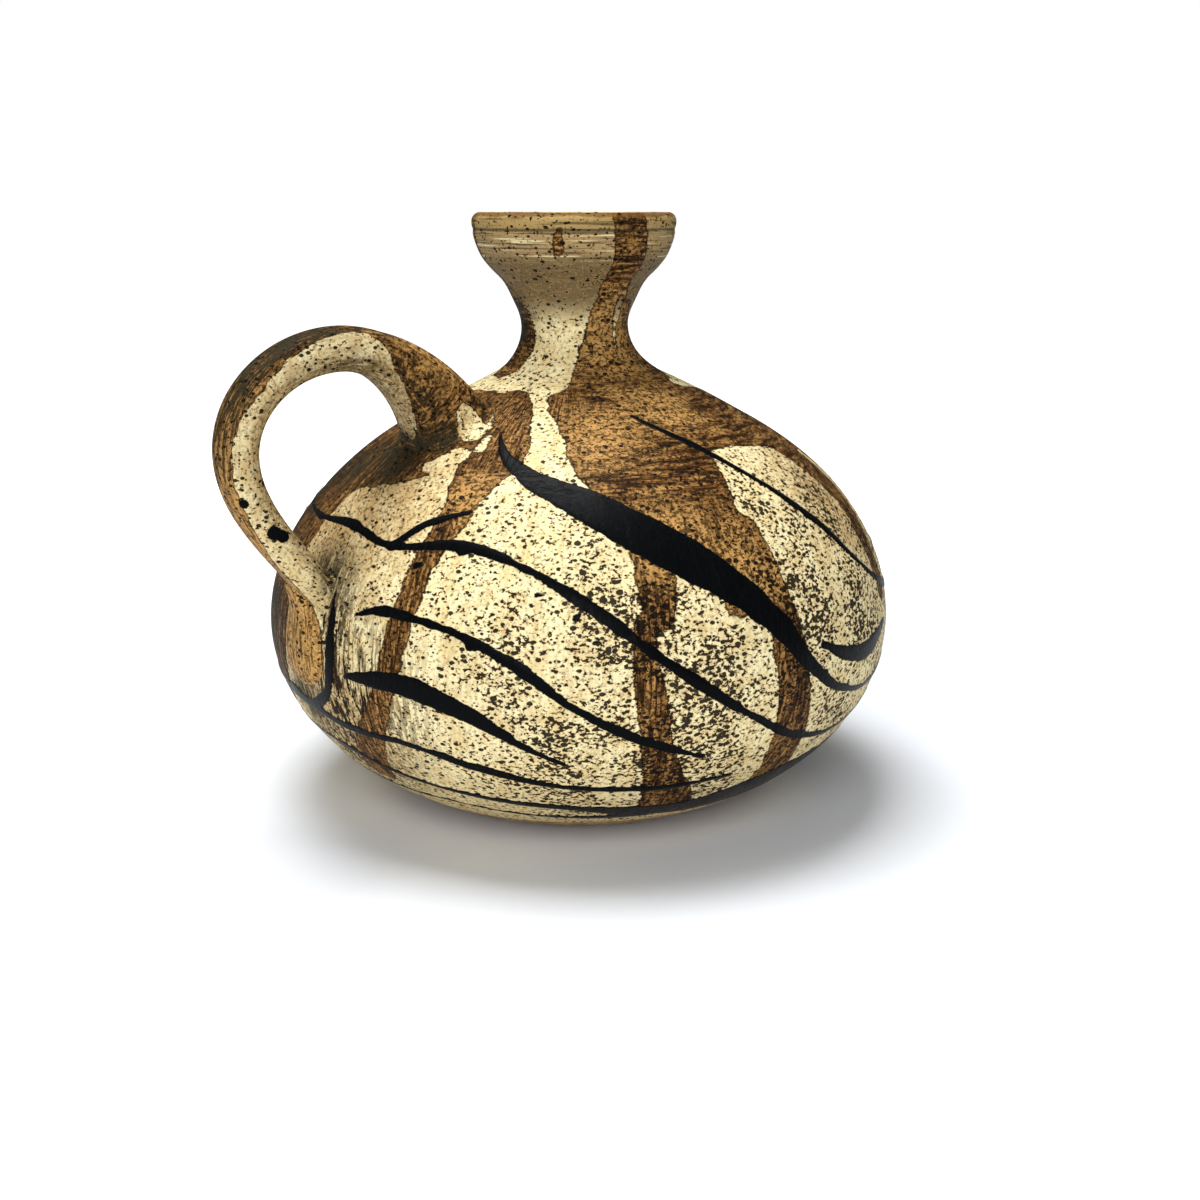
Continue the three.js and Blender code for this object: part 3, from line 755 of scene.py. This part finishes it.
def glazed(name, light, dark, flare, cup, gold_streaks=0.25, gold_grain=0.8):
    """The speckled glaze on a ground of two colours, with its tints on the neck's flare and on the cup,
    partly painted shade.

    The last two numbers are the shares of dark streaks and of dark grain where the brown is golden.
    """
    material, tree, shader = new_material(name)
    p = glaze_patterns(tree)
    edges = {"Vector": p.coords, "Brush": p.brush}
    torn = ramp(tree, p.grime, 0.0, 0.8, 1.9, 5.0)
    run_sockets = {"Distance": attribute(tree, "run_edge"), "Wander": 3.2, "Torn": torn}
    run = use_group(tree, EDGES, {**edges, **run_sockets})
    trail_sockets = {"Distance": attribute(tree, "trail_edge"), "Wander": 1.5, "Torn": 0.7}
    trail = use_group(tree, EDGES, {**edges, **trail_sockets})

    ground = cream_ground(tree, p, light, dark, flare, cup)
    colour = tint(tree, ground, brown_run(tree, p, gold_streaks, gold_grain), run["Inside"])
    colour = tint(tree, colour, BROWN_DARK, run["Rim"], 0.8)
    # olive where the wall is grimy, and painted shade round the handle's joints and under its arch
    colour = tint(tree, colour, OLIVE, ramp(tree, p.dark, 0.0, 1.0, 0.38, 0.92), p.grime)
    from_groove = maths(tree, "ABSOLUTE", maths(tree, "SUBTRACT", p.level, GROOVE_HEIGHT))
    colour = tint(tree, colour, OLIVE, ramp(tree, from_groove, *GROOVE_DARK_LINE, 0.0, 0.7))
    from_top = maths(tree, "SUBTRACT", height, p.level)
    worn = maths(tree, "ADD", from_top, times(tree, p.mottle, -LIP_WEAR))
    colour = tint(tree, colour, BROWN, ramp(tree, worn, LIP_WEAR_EDGE, -LIP_WEAR_EDGE, 0.0, 0.8))

    thrown = maths(tree, "MAXIMUM", p.crowd, times(tree, p.gold, 0.45 * gold_grain))
    dots = {"Vector": p.flat, "Scale": DOTS, "Size": ramp(tree, thrown, 0.0, 1.0, 0.35, 0.58)}
    dot = use_group(tree, FLECKS, dots)["Fleck"]
    crumb = ramp(tree, p.crumbs, 0.0, 0.015)
    pepper = ramp(tree, p.grit, 0.63, 0.68, 0.0, 0.5)
    fleck = maths(tree, "MAXIMUM", maths(tree, "MAXIMUM", dot, crumb), pepper)
    colour = tint(tree, colour, IRON_BLACK, fleck, 0.96)
    colour = tint(tree, colour, BLACK_GLAZE, trail["Inside"])
    tree.links.new(colour, shader.inputs["Base Color"])

    rough = ramp(tree, trail["Inside"], 0.0, 1.0, 0.5, 0.3)
    rough = maths(tree, "ADD", rough, times(tree, p.dark, 0.06))
    tree.links.new(rough, shader.inputs["Roughness"])
    relief = times(tree, run["Inside"], 0.10)
    for layer, rise in ((trail["Inside"], 0.14), (p.dark, -0.05), (fleck, -0.05)):
        relief = maths(tree, "ADD", relief, times(tree, layer, rise))
    bump = add_node(tree, "ShaderNodeBump", {"Height": relief, "Strength": 0.8, "Distance": MM})
    tree.links.new(bump.outputs[0], shader.inputs["Normal"])
    shader.inputs["Specular IOR Level"].default_value = 0.035
    return material


LINER_CLOUDS = 120
LINER_DOTS = 500


def liner():
    """The glaze inside: poured in and out again, plain cream with few flecks, painted darker than the
    outside as shade in the hollow.
    """
    material, tree, shader = new_material("liner glaze")
    coords = add_node(tree, "ShaderNodeTexCoord").outputs["Object"]
    cloudy = ramp(tree, noise(tree, coords, LINER_CLOUDS, 4.0), 0.3, 0.7)
    colour = blend(tree, cloudy, CREAM_DARK, NECK_GREY_AND_SHADE)
    fleck = use_group(tree, FLECKS, {"Vector": coords, "Scale": LINER_DOTS, "Size": 0.4})["Fleck"]
    tree.links.new(blend(tree, fleck, colour, IRON_BLACK), shader.inputs["Base Color"])
    shader.inputs["Roughness"].default_value = 0.4
    return material


body_glaze = glazed("body glaze", CREAM_LIGHT, CREAM_DARK, NECK_GREY_AND_SHADE, CUP_GREY_AND_SHADE)
liner_glaze = liner()


def coat(piece, outer):
    """Outer glaze on a turned piece's outside and liner glaze on its inside."""
    mesh = piece.data
    mesh.materials.append(outer)
    mesh.materials.append(liner_glaze)
    middles = np.empty(len(mesh.polygons) * 3)
    mesh.polygons.foreach_get("center", middles)
    middles = middles.reshape(-1, 3)
    angle, reach = polar(middles)
    depth = wall_radius(middles[:, 2], angle) - reach
    mesh.polygons.foreach_set("material_index", (depth > WALL / 2).astype(np.int32))


def turned_wall(name, low, high, step, turns):
    """A turned piece of the wall between two heights, uneven, glazed and coated."""
    inner = wall_line(low, high, INSIDE_STEP, WALL)[::-1]
    inner_radius, inner_level = inner[-1]
    flat_foot = [(inner_radius, low)] if inner_level > low + MM else []
    piece = turned(name, [*wall_line(low, high, step), *inner, *flat_foot], turns)
    throw(piece)
    glaze_wall(piece)
    coat(piece, body_glaze)
    return piece


belly_bowl = turned_wall("bowl", slab_top, belly_height, BOWL_STEP, BOWL_TURNS)
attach(belly_bowl, "root")
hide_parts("belly_bowl")


# Shoulder dome
# The upper half of the body, thrown as a second bowl and joined rim to rim over the first. It closes
# in to the neck, and the brown glaze lies thickest on it.
SHOULDER_STEP = 1.0 * MM
NECK_HEIGHT = 132 * MM

shoulder_dome = turned_wall("shoulder", belly_height, NECK_HEIGHT, SHOULDER_STEP, BOWL_TURNS)
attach(shoulder_dome, "root")
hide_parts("shoulder_dome")


# Neck collar
# The narrow neck, thrown on the closed shoulder and drawn in between the fingers until it flares again.
NECK_STEP = 0.5 * MM
NECK_TURNS = 360

neck_collar = turned_wall("neck", NECK_HEIGHT, RIDGE_HEIGHT, NECK_STEP, NECK_TURNS)
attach(neck_collar, "root")
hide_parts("neck_collar")


# Mouth cup
# The cupped mouth above the neck, turned in over a soft ridge, with fine lines from the potter's rib.
CUP_STEP = 0.4 * MM

mouth_cup = turned_wall("cup", RIDGE_HEIGHT, GROOVE_HEIGHT, CUP_STEP, NECK_TURNS)
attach(mouth_cup, "root")
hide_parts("mouth_cup")


# Rim lip
# The lip above a cut groove, rounded over with a strip of wet leather. Its glaze ran thin and ochre.
LIP_LIGHT = (0.42, 0.285, 0.105, 1)
LIP_DARK = (0.24, 0.15, 0.05, 1)
CROWN_POINTS = 16

lip_outer = wall_line(GROOVE_HEIGHT, height - WALL / 2, CUP_STEP)
lip_inner = wall_line(GROOVE_HEIGHT, height - WALL / 2, CUP_STEP, WALL)[::-1]
crown_angles = np.linspace(0, math.pi, CROWN_POINTS)[1:-1]
crown_centre = mouth_radius - WALL / 2
crown_across = crown_centre + WALL / 2 * np.cos(crown_angles)
crown_up = height - WALL / 2 + WALL / 2 * np.sin(crown_angles)
crown = np.column_stack((crown_across, crown_up))
rim_lip = turned("lip", [*lip_outer, *crown, *lip_inner], NECK_TURNS)
throw(rim_lip)
glaze_wall(rim_lip)
coat(rim_lip, glazed("lip glaze", LIP_LIGHT, LIP_DARK, LIP_LIGHT, LIP_LIGHT))
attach(rim_lip, "root")
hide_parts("rim_lip")


# Handle root
# The thick stub of the pulled handle, pressed onto the scored shoulder and smeared out all round it.
# The brown glaze covers it, but for its inner face.
ROOT_RADIUS = 49 * MM  # the root's place on the shoulder, from the axis
ROOT_WIDTH = 25 * MM
ROOT_THICKNESS = 24 * MM
ROOT_LENGTH = 15 * MM
FLARE_LENGTH = 33 * MM  # root's foot to where the strap is plain
FLARE_POWER = 1.15  # 1 is a straight cone, more is a hollow trumpet
ARCH_RISE = 23.3 * MM
ARCH_RADIUS = 83 * MM
HANDLE_REACH = 18.5 * MM
HANDLE_DROP = 27 * MM
QUARTER_ROUND = 0.55
LANDING_RISE = 20 * MM  # where the strap lands on the belly, above the widest line
LANDING_LEAN = math.radians(36)
LANDING_RUN = 0.38
STRAP_WIDTH = 13.6 * MM
STRAP_THICKNESS = 12.9 * MM
STRAP_END_WIDTH = 12 * MM
STRAP_END_THICKNESS = 9.4 * MM
SQUARENESS = 2.9
SUNK = 8 * MM  # how far the handle's middle line runs on inside the wall
LOOP_STEP = 0.25 * MM
BEZIER_POINTS = 60
SEARCH_STEPS = 1000
RING_SEGMENTS = 80
ROOT_ROWS = 44
ROOT_FILLET = 4 * MM
ROOT_FILLET_ROWS = 16
WELD = 0.3 * MM  # how far a fillet's edge dips below the wall


def make_loop():
    """Middle line of the handle as radius and height, from inside the shoulder to inside the belly."""
    dome = (outline[:, 1] > belly_height) & (outline[:, 1] < throat_height)
    seat_height = float(np.interp(-ROOT_RADIUS, -outline[dome, 0], outline[dome, 1]))
    seat = Vector((ROOT_RADIUS, seat_height))
    seat_normal = Vector((math.sin(SHOULDER_SLOPE), math.cos(SHOULDER_SLOPE)))
    leave = seat + seat_normal * ARCH_RISE / 2
    arch_height = seat_height + ARCH_RISE
    arch_top = Vector((ARCH_RADIUS, arch_height))
    arch_start = Vector((ARCH_RADIUS - (ARCH_RADIUS - leave.x) * QUARTER_ROUND, arch_height))
    rise = interpolate_bezier(seat, leave, arch_start, arch_top, BEZIER_POINTS)

    reach_radius = belly_radius + HANDLE_REACH
    reach_height = arch_height - HANDLE_DROP
    reach = Vector((reach_radius, reach_height))
    arch_end = Vector((ARCH_RADIUS + (reach_radius - ARCH_RADIUS) * QUARTER_ROUND, arch_height))
    reach_start = Vector((reach_radius, reach_height + HANDLE_DROP * QUARTER_ROUND))
    bend = interpolate_bezier(arch_top, arch_end, reach_start, reach, BEZIER_POINTS)

    landing_height = belly_height + LANDING_RISE
    landing = Vector((float(np.interp(landing_height, outline[:, 1], outline[:, 0])), landing_height))
    downwards = Vector((-math.sin(LANDING_LEAN), -math.cos(LANDING_LEAN)))
    straight_run = (reach_height - landing_height) * LANDING_RUN
    reach_end = Vector((reach_radius, reach_height - straight_run))
    approach = landing - downwards * straight_run
    fall = interpolate_bezier(reach, reach_end, approach, landing, BEZIER_POINTS)
    line = [seat - seat_normal * SUNK, *rise, *bend[1:], *fall[1:], landing + downwards * SUNK]
    return np.array([tuple(point)[:2] for point in line])


loop, loop_stations = evenly(make_loop(), LOOP_STEP)
loop_along = loop_stations - SUNK
loop_length = loop_along[-1] - SUNK
loop_tangent = np.gradient(loop, loop_along, axis=0)


def strap_size(along, foot, plain, end):
    """Width or thickness of the handle at a length from the shoulder: a flared foot, then a taper."""
    flare = np.clip(1 - along / FLARE_LENGTH, 0, 1)
    taper = np.clip((along - FLARE_LENGTH) / (loop_length - FLARE_LENGTH), 0, 1)
    return plain + (end - plain) * taper + (foot - plain) * flare**FLARE_POWER


def squared(value):
    """A sine or cosine swelled so that the handle's round section has flatter faces."""
    return np.sign(value) * np.abs(value) ** (2 / SQUARENESS)


def on_handle(along, around):
    """Places on the handle's skin at lengths along it and angles round it, from its outer face."""
    centre = [np.interp(along, loop_along, column) for column in loop.T]
    tangent = [np.interp(along, loop_along, column) for column in loop_tangent.T]
    thickness = strap_size(along, ROOT_THICKNESS, STRAP_THICKNESS, STRAP_END_THICKNESS)
    width = strap_size(along, ROOT_WIDTH, STRAP_WIDTH, STRAP_END_WIDTH)
    out = squared(np.cos(around)) * thickness / 2
    aside = squared(np.sin(around)) * width / 2
    radius = centre[0] - tangent[1] * out
    level = centre[1] + tangent[0] * out
    return np.stack((-radius, aside, level), axis=-1)


def clearance(places):
    """How far places stand outside the wall, measured across it."""
    angle, reach = polar(places)
    lean = np.interp(places[..., 2], outline[:, 1], outline_normal[:, 0])
    return (reach - wall_radius(places[..., 2], angle)) * lean


def foot_lengths(around, inside, outside):
    """Length along the handle at which its skin comes out of the wall, for each angle round it."""
    angles, index = np.unique(np.round(around, 6), return_inverse=True)
    lengths = np.linspace(inside, outside, SEARCH_STEPS)
    gaps = clearance(on_handle(lengths[None, :], angles[:, None]))
    return lengths[np.argmax(gaps > 0, axis=1)][index]


def write_layers(bm, brush, **numbers):
    """What the shaders read at each vertex: numbers by name, and the coordinates that the streaks follow."""
    for name, values in numbers.items():
        layer = bm.verts.layers.float.new(name)
        for vert, value in zip(bm.verts, np.broadcast_to(values, len(bm.verts))):
            vert[layer] = value
    layer = bm.verts.layers.float_vector.new("brush")
    for vert, value in zip(bm.verts, brush):
        vert[layer] = value


# How far the brown runs up the root in mm, for degrees round it from its outer face
ROOT_BROWN_ROUND = (0, 60, 100, 125, 150, 165, 180)
ROOT_BROWN_REACH = (44, 36, 29, 22, 14, 6.5, 1.5)
STRAP_BROWN_HALF = math.radians(47)  # how far the brown reaches round the strap from its outer face
STRAP_PINCH = math.radians(30)  # how much narrower the brown gets above the landing
PINCH_LENGTH = 15 * MM
STRAP_WIDEN = math.radians(30)  # how much wider the brown is past the arch's top
WIDEN_MIDDLE = 69 * MM
WIDEN_SPREAD = 17 * MM
HANDLE_STRETCH = 0.16  # how much shorter the streaks' coordinates are along the brush's way
CROSS_BRUSHED = 22 * MM  # how far up the root the brush went round the handle, not along it
# Black blots on the handle: length from the shoulder in mm, degrees round it, half width in mm
HANDLE_BLOTS = [(52, -112, 0.4), (84, -88, 0.5), (90, -76, 0.5), (101, -56, 1.3)]
HANDLE_BLOTS += [(112, -86, 1.9), (115, -94, 1.7), (96, 80, 1.4)]
JOINT_GRIME_AND_SHADE = 9 * MM  # how far dirt, dark glaze and painted shade reach out of the handle's joints
JOINT_LINE = 0.7 * MM
SOOT_MIDDLE = 62 * MM  # the darkest place on the handle's outer face, from the shoulder
SOOT_REACH = 34 * MM
ROOT_GOLD = 22 * MM  # the palest brown on the root
ARCH_SHADE = 42 * MM  # the darkest painted shade on the inner face, under the arch
# Angles round the handle from its outer face: where faces begin, fade out or turn into corners
INNER_START = math.radians(82)
INNER_FADE = math.radians(24)
OUTER_FADE = math.radians(60)
TOP_FADE = math.radians(90)
CORNER_TURN = math.radians(120)


def glaze_handle(bm, along, around, from_joint, places):
    """Writes where the glazes lie on a handle piece: brown on its outer face and root, cream beside."""
    turn = np.abs((around + math.pi) % (2 * math.pi) - math.pi)
    size = strap_size(along, ROOT_WIDTH, STRAP_WIDTH, STRAP_END_WIDTH) / 2
    pinch = STRAP_PINCH * np.clip((along - loop_length + 2 * PINCH_LENGTH) / PINCH_LENGTH, 0, 1)
    widen = STRAP_WIDEN * hump(along, WIDEN_MIDDLE, WIDEN_SPREAD)
    outer_edge = (turn - STRAP_BROWN_HALF + pinch - widen) * size
    root_reach = np.interp(np.degrees(turn), ROOT_BROWN_ROUND, ROOT_BROWN_REACH) * MM
    root_line = np.where(along < FLARE_LENGTH, from_joint - JOINT_LINE, FAR)
    run_edge = np.minimum(np.minimum(outer_edge, along - root_reach), root_line)
    bare_edge = edge_distance(places, bare_strokes, RUN_FLOW)
    blots = []
    for length, degrees, half_width in HANDLE_BLOTS:
        middle = on_handle(np.array([length * MM]), np.array([math.radians(degrees)]))
        blots.append(np.column_stack((middle, [half_width * MM])))
    inner_face = np.clip((turn - INNER_START) / INNER_FADE, 0, 1)
    outer_face = np.clip(1.4 - turn / OUTER_FADE, 0, 1)
    soot = outer_face * np.clip(1.2 - np.abs(along - SOOT_MIDDLE) / SOOT_REACH, 0, 1)
    # painted shade on the inner face, darkest under the arch
    shade_under_arch = inner_face * (0.35 + 0.5 * np.clip(1 - np.abs(along - ARCH_SHADE) / SOOT_REACH, 0, 1))
    # at the joints the darkening is dirt all round and painted shade in the crease on the wall's side, which
    # in_corner raises
    in_corner = np.clip(turn / CORNER_TURN, 0.3, 1)
    grime = np.clip(1 - from_joint / JOINT_GRIME_AND_SHADE, 0, 0.9) * in_corner + shade_under_arch + soot
    on_top = np.clip(1.5 - turn / TOP_FADE, 0, 1)
    root_gold = (0.8 - np.abs(along - ROOT_GOLD) / FLARE_LENGTH) * on_top
    foot_turn = np.tanh(along / CROSS_BRUSHED)
    lengthwise = HANDLE_STRETCH * along + (1 - HANDLE_STRETCH) * CROSS_BRUSHED * foot_turn
    across_foot = HANDLE_STRETCH + (1 - HANDLE_STRETCH) * foot_turn**2
    brush = np.column_stack((lengthwise, turn * size * across_foot, places[:, 1] * across_foot))
    write_layers(
        bm,
        brush * BRUSH_STRETCH,
        run_edge=np.maximum(run_edge, -bare_edge) / MM,
        trail_edge=edge_distance(places, blots, TRAIL_FLOW) / MM,
        grime=np.clip(grime, 0, 1) * np.clip(0.5 + bare_edge / MM, 0, 1),
        wiped=0,
        # the inner face gets more tan as painted shade, since it faces the wall and the floor
        stain=0.4 + 0.6 * inner_face,
        speckle=0,
        gold=np.clip(np.maximum((along - SOOT_MIDDLE) / SOOT_REACH, root_gold), 0, 1),
        falling=0,
    )


def handle_piece(name, inside, outside, far_end, fillet, fillet_rows, rows):
    """A length of the handle with a fillet where it meets the wall, skinned from a grid."""
    bm = bmesh.new()
    bmesh.ops.create_grid(bm, x_segments=RING_SEGMENTS, y_segments=rows, size=1)
    spots = np.array([vert.co[:2] for vert in bm.verts])
    around = math.pi * spots[:, 0]
    row = (spots[:, 1] + 1) / 2 * rows
    foot = foot_lengths(around, inside, outside)
    corner = on_handle(foot, around)
    normal = wall_normal(corner)
    outward = corner - on_handle(foot, around + math.pi)
    outward -= normal * np.sum(outward * normal, axis=1, keepdims=True)
    outward /= np.linalg.norm(outward, axis=1, keepdims=True)
    edge = corner + outward * fillet
    edge -= wall_normal(edge) * (clearance(edge)[:, None] + WELD)
    lift_off = foot + math.copysign(fillet, far_end - foot[0])
    curve = np.clip(row / fillet_rows, 0, 1)[:, None]
    leaving = on_handle(lift_off, around)
    filleted = edge * (1 - curve) ** 2 + corner * 2 * curve * (1 - curve) + leaving * curve**2
    share = np.clip((row - fillet_rows) / (rows - fillet_rows), 0, 1)
    along = lift_off + (far_end - lift_off) * share
    places = np.where(curve < 1, filleted, on_handle(along, around))
    for vert, place in zip(bm.verts, places):
        vert.co = place
    glaze_along = np.where(curve[:, 0] < 1, foot + (lift_off - foot) * curve[:, 0], along)
    glaze_handle(bm, glaze_along, around, np.abs(glaze_along - foot), places)
    bmesh.ops.remove_doubles(bm, verts=bm.verts, dist=SEAM)
    rims = [side for side in bm.edges if side.is_boundary]
    bmesh.ops.holes_fill(bm, edges=rims, sides=0)
    return finished(name, bm)


handle_glaze = glazed("handle glaze", CREAM_LIGHT, CREAM_DARK, NECK_GREY_AND_SHADE, CUP_GREY_AND_SHADE, 0.75, 0.35)
handle_root = handle_piece(
    "root_stub", -SUNK, ROOT_LENGTH, ROOT_LENGTH, ROOT_FILLET, ROOT_FILLET_ROWS, ROOT_ROWS
)
handle_root.data.materials.append(handle_glaze)
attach(handle_root, "root")
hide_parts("handle_root")


# Handle strap
# The rest of the handle: a strap of clay pulled by wet hands, bent into a loop and pressed to the belly.
LANDING_FILLET = 3 * MM
LANDING_FILLET_ROWS = 8
STRAP_ROWS = 240

strap_inside = loop_length + SUNK
strap_outside = loop_length - 2 * STRAP_THICKNESS
handle_strap = handle_piece(
    "strap", strap_inside, strap_outside, ROOT_LENGTH, LANDING_FILLET, LANDING_FILLET_ROWS, STRAP_ROWS
)
handle_strap.data.materials.append(handle_glaze)
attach(handle_strap, "root")
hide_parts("handle_strap")


# Handle tail
# The end of the strap, spread onto the belly with the thumb as a flat tongue. Its middle is brown, its
# borders are cream, and dark glaze has gathered round it.
TAIL_POLAR = math.radians(177.5)  # direction from the axis to the tail, a little aside of the strap
TAIL_WIDTH = 25 * MM
TAIL_TOP_WIDTH = 12.5 * MM
TAIL_LENGTH = 29.5 * MM  # below the strap's landing
TAIL_TOP_RELIEF = 8 * MM  # where the tail leaves the strap's outer face
TAIL_SWEEP = 9 * MM
TAIL_RELIEF = 3.6 * MM
TAIL_TIP_RELIEF = 1.8 * MM
TAIL_FULL = 0.55  # shares of the length at which the tail is broadest and its tip's rounding starts
TAIL_ROUND_START = 0.62
TAIL_BORDERS = (1.6 * MM, 2.0 * MM)  # cream left beside the brown, on the front side and the far side
TAIL_SKIN = 1.5 * MM
THUMB_POWER = 3.2  # more makes the tongue flatter with steeper sides
TAIL_GRIME = 0.6 * MM
TAIL_STRETCH = 0.8
TAIL_COLUMNS = 60
TAIL_ROWS = 96

face_lengths = np.linspace(strap_outside, strap_inside, SEARCH_STEPS)
outer_face = on_handle(face_lengths, np.zeros(len(face_lengths)))
start = outer_face[np.argmax(clearance(outer_face) < TAIL_TOP_RELIEF)]
start_level = (start - wall_normal(start) * clearance(start))[2]
tail_top = np.interp(start_level, outline[:, 1], outline_along)
tail_end = np.interp(belly_height + LANDING_RISE, outline[:, 1], outline_along) - TAIL_LENGTH

bm = bmesh.new()
bmesh.ops.create_grid(bm, x_segments=TAIL_COLUMNS, y_segments=TAIL_ROWS, size=1)
across = np.array([vert.co.x for vert in bm.verts])
share = np.array([(1 - vert.co.y) / 2 for vert in bm.verts])
from_top = share * (tail_top - tail_end)
past_round = np.clip((share - TAIL_ROUND_START) / (1 - TAIL_ROUND_START), 0, 1)
tip = np.sqrt(1 - past_round**2)
spread = np.sin(np.clip(share / TAIL_FULL, 0, 1) * math.pi / 2)
half_width = (TAIL_TOP_WIDTH + (TAIL_WIDTH - TAIL_TOP_WIDTH) * spread) / 2 * tip
thumbed = (1 - np.abs(across) ** THUMB_POWER) * np.sqrt(tip)
swept = np.clip(1 - from_top / TAIL_SWEEP, 0, 1) ** 2
relief = TAIL_RELIEF + (TAIL_TIP_RELIEF - TAIL_RELIEF) * share + (TAIL_TOP_RELIEF - TAIL_RELIEF) * swept
level = np.interp(tail_top - from_top, outline_along, outline[:, 1])
angle = TAIL_POLAR - across * half_width / belly_radius
radius = wall_radius(level, angle)
foot = np.column_stack((radius * np.cos(angle), radius * np.sin(angle), level))
places = foot + wall_normal(foot) * (relief * thumbed - WELD)[:, None]
for vert, place in zip(bm.verts, places):
    vert.co = place
from_side = (1 - np.abs(across)) * half_width
from_edge = np.minimum(from_side, tail_top - tail_end - from_top)
border = np.where(across < 0, *TAIL_BORDERS) * (1 - share)
write_layers(
    bm,
    places * (BRUSH_STRETCH, BRUSH_STRETCH, TAIL_STRETCH),
    run_edge=(border - from_side) / MM,
    trail_edge=FAR / MM,
    grime=np.clip(1 - from_edge / TAIL_GRIME, 0, 1),
    wiped=0.2,
    stain=0,
    speckle=0,
    gold=1.3,
    falling=0,
)
bmesh.ops.remove_doubles(bm, verts=bm.verts, dist=SEAM)
bmesh.ops.recalc_face_normals(bm, faces=bm.faces)
bmesh.ops.solidify(bm, geom=bm.faces[:], thickness=TAIL_SKIN)
handle_tail = finished("tail", bm)
handle_tail.data.materials.append(handle_glaze)
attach(handle_tail, "root")
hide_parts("handle_tail")


# Studio floor and light
# A white table with a wide soft lamp above, a little to the left, and a paler one over the camera.
FLOOR_SIZE = 6.0
FLOOR_WHITE = (0.86, 0.89, 0.935, 1)
GLOW_START = 0.16  # from here outward the floor glows up to white, which only the camera sees
GLOW_END = 0.45
WORLD_FILL = 0.14

bm = bmesh.new()
bmesh.ops.create_grid(bm, x_segments=1, y_segments=1, size=FLOOR_SIZE / 2)
floor = finished("studio_floor", bm)
floor_white, tree, shader = new_material("floor white")
shader.inputs["Base Color"].default_value = FLOOR_WHITE
shader.inputs["Roughness"].default_value = 0.9
shader.inputs["Specular IOR Level"].default_value = 0.0
shader.inputs["Emission Color"].default_value = (1, 1, 1, 1)
coords = add_node(tree, "ShaderNodeTexCoord").outputs["Object"]
distance = add_node(tree, "ShaderNodeVectorMath", {0: coords}, operation="LENGTH").outputs["Value"]
seen = add_node(tree, "ShaderNodeLightPath").outputs["Is Camera Ray"]
glow = ramp(tree, distance, GLOW_START, GLOW_END)
tree.links.new(times(tree, seen, glow), shader.inputs["Emission Strength"])
floor.data.materials.append(floor_white)

world = bpy.data.worlds.new("studio")
bpy.context.scene.world = world
world.use_nodes = True
tree = world.node_tree
background = tree.nodes["Background"]
background.inputs["Color"].default_value = (1, 1, 1, 1)
seen = add_node(tree, "ShaderNodeLightPath").outputs["Is Camera Ray"]
tree.links.new(ramp(tree, seen, 0.0, 1.0, WORLD_FILL, 1.0), background.inputs["Strength"])

CAMERA_TURN = math.radians(-38)
CAMERA_DISTANCE = 0.5
CAMERA_HEIGHT = 0.182
CAMERA_PITCH = math.radians(13.82)
CAMERA_YAW = math.radians(0.9)
CAMERA_LENS = 48.15
to_camera = Vector((math.sin(CAMERA_TURN), -math.cos(CAMERA_TURN), 0))
to_right = Vector((math.cos(CAMERA_TURN), math.sin(CAMERA_TURN), 0))


def soft_lamp(name, right, forward, up, size, power):
    """A square lamp aimed at the vase, placed as seen from the camera, in metres and watts."""
    data = bpy.data.lights.new(name, "AREA")
    data.size = size
    data.energy = power
    lamp = bpy.data.objects.new(name, data)
    lamp.location = to_right * right + to_camera * forward + Vector((0, 0, up))
    aim = Vector((0, 0, height / 2)) - lamp.location
    lamp.rotation_euler = aim.to_track_quat("-Z", "Y").to_euler()
    bpy.context.collection.objects.link(lamp)


soft_lamp("top lamp", right=-0.12, forward=-0.05, up=1.0, size=0.55, power=11)
soft_lamp("front lamp", right=-0.1, forward=1.0, up=0.5, size=0.7, power=7.2)

camera_data = bpy.data.cameras.new("camera")
camera_data.lens = CAMERA_LENS
camera = bpy.data.objects.new("camera", camera_data)
camera.location = to_camera * CAMERA_DISTANCE + Vector((0, 0, CAMERA_HEIGHT))
camera.rotation_euler = (math.pi / 2 - CAMERA_PITCH, 0, CAMERA_TURN - CAMERA_YAW)
bpy.context.collection.objects.link(camera)
bpy.context.scene.camera = camera
bpy.context.scene.view_settings.view_transform = "Standard"
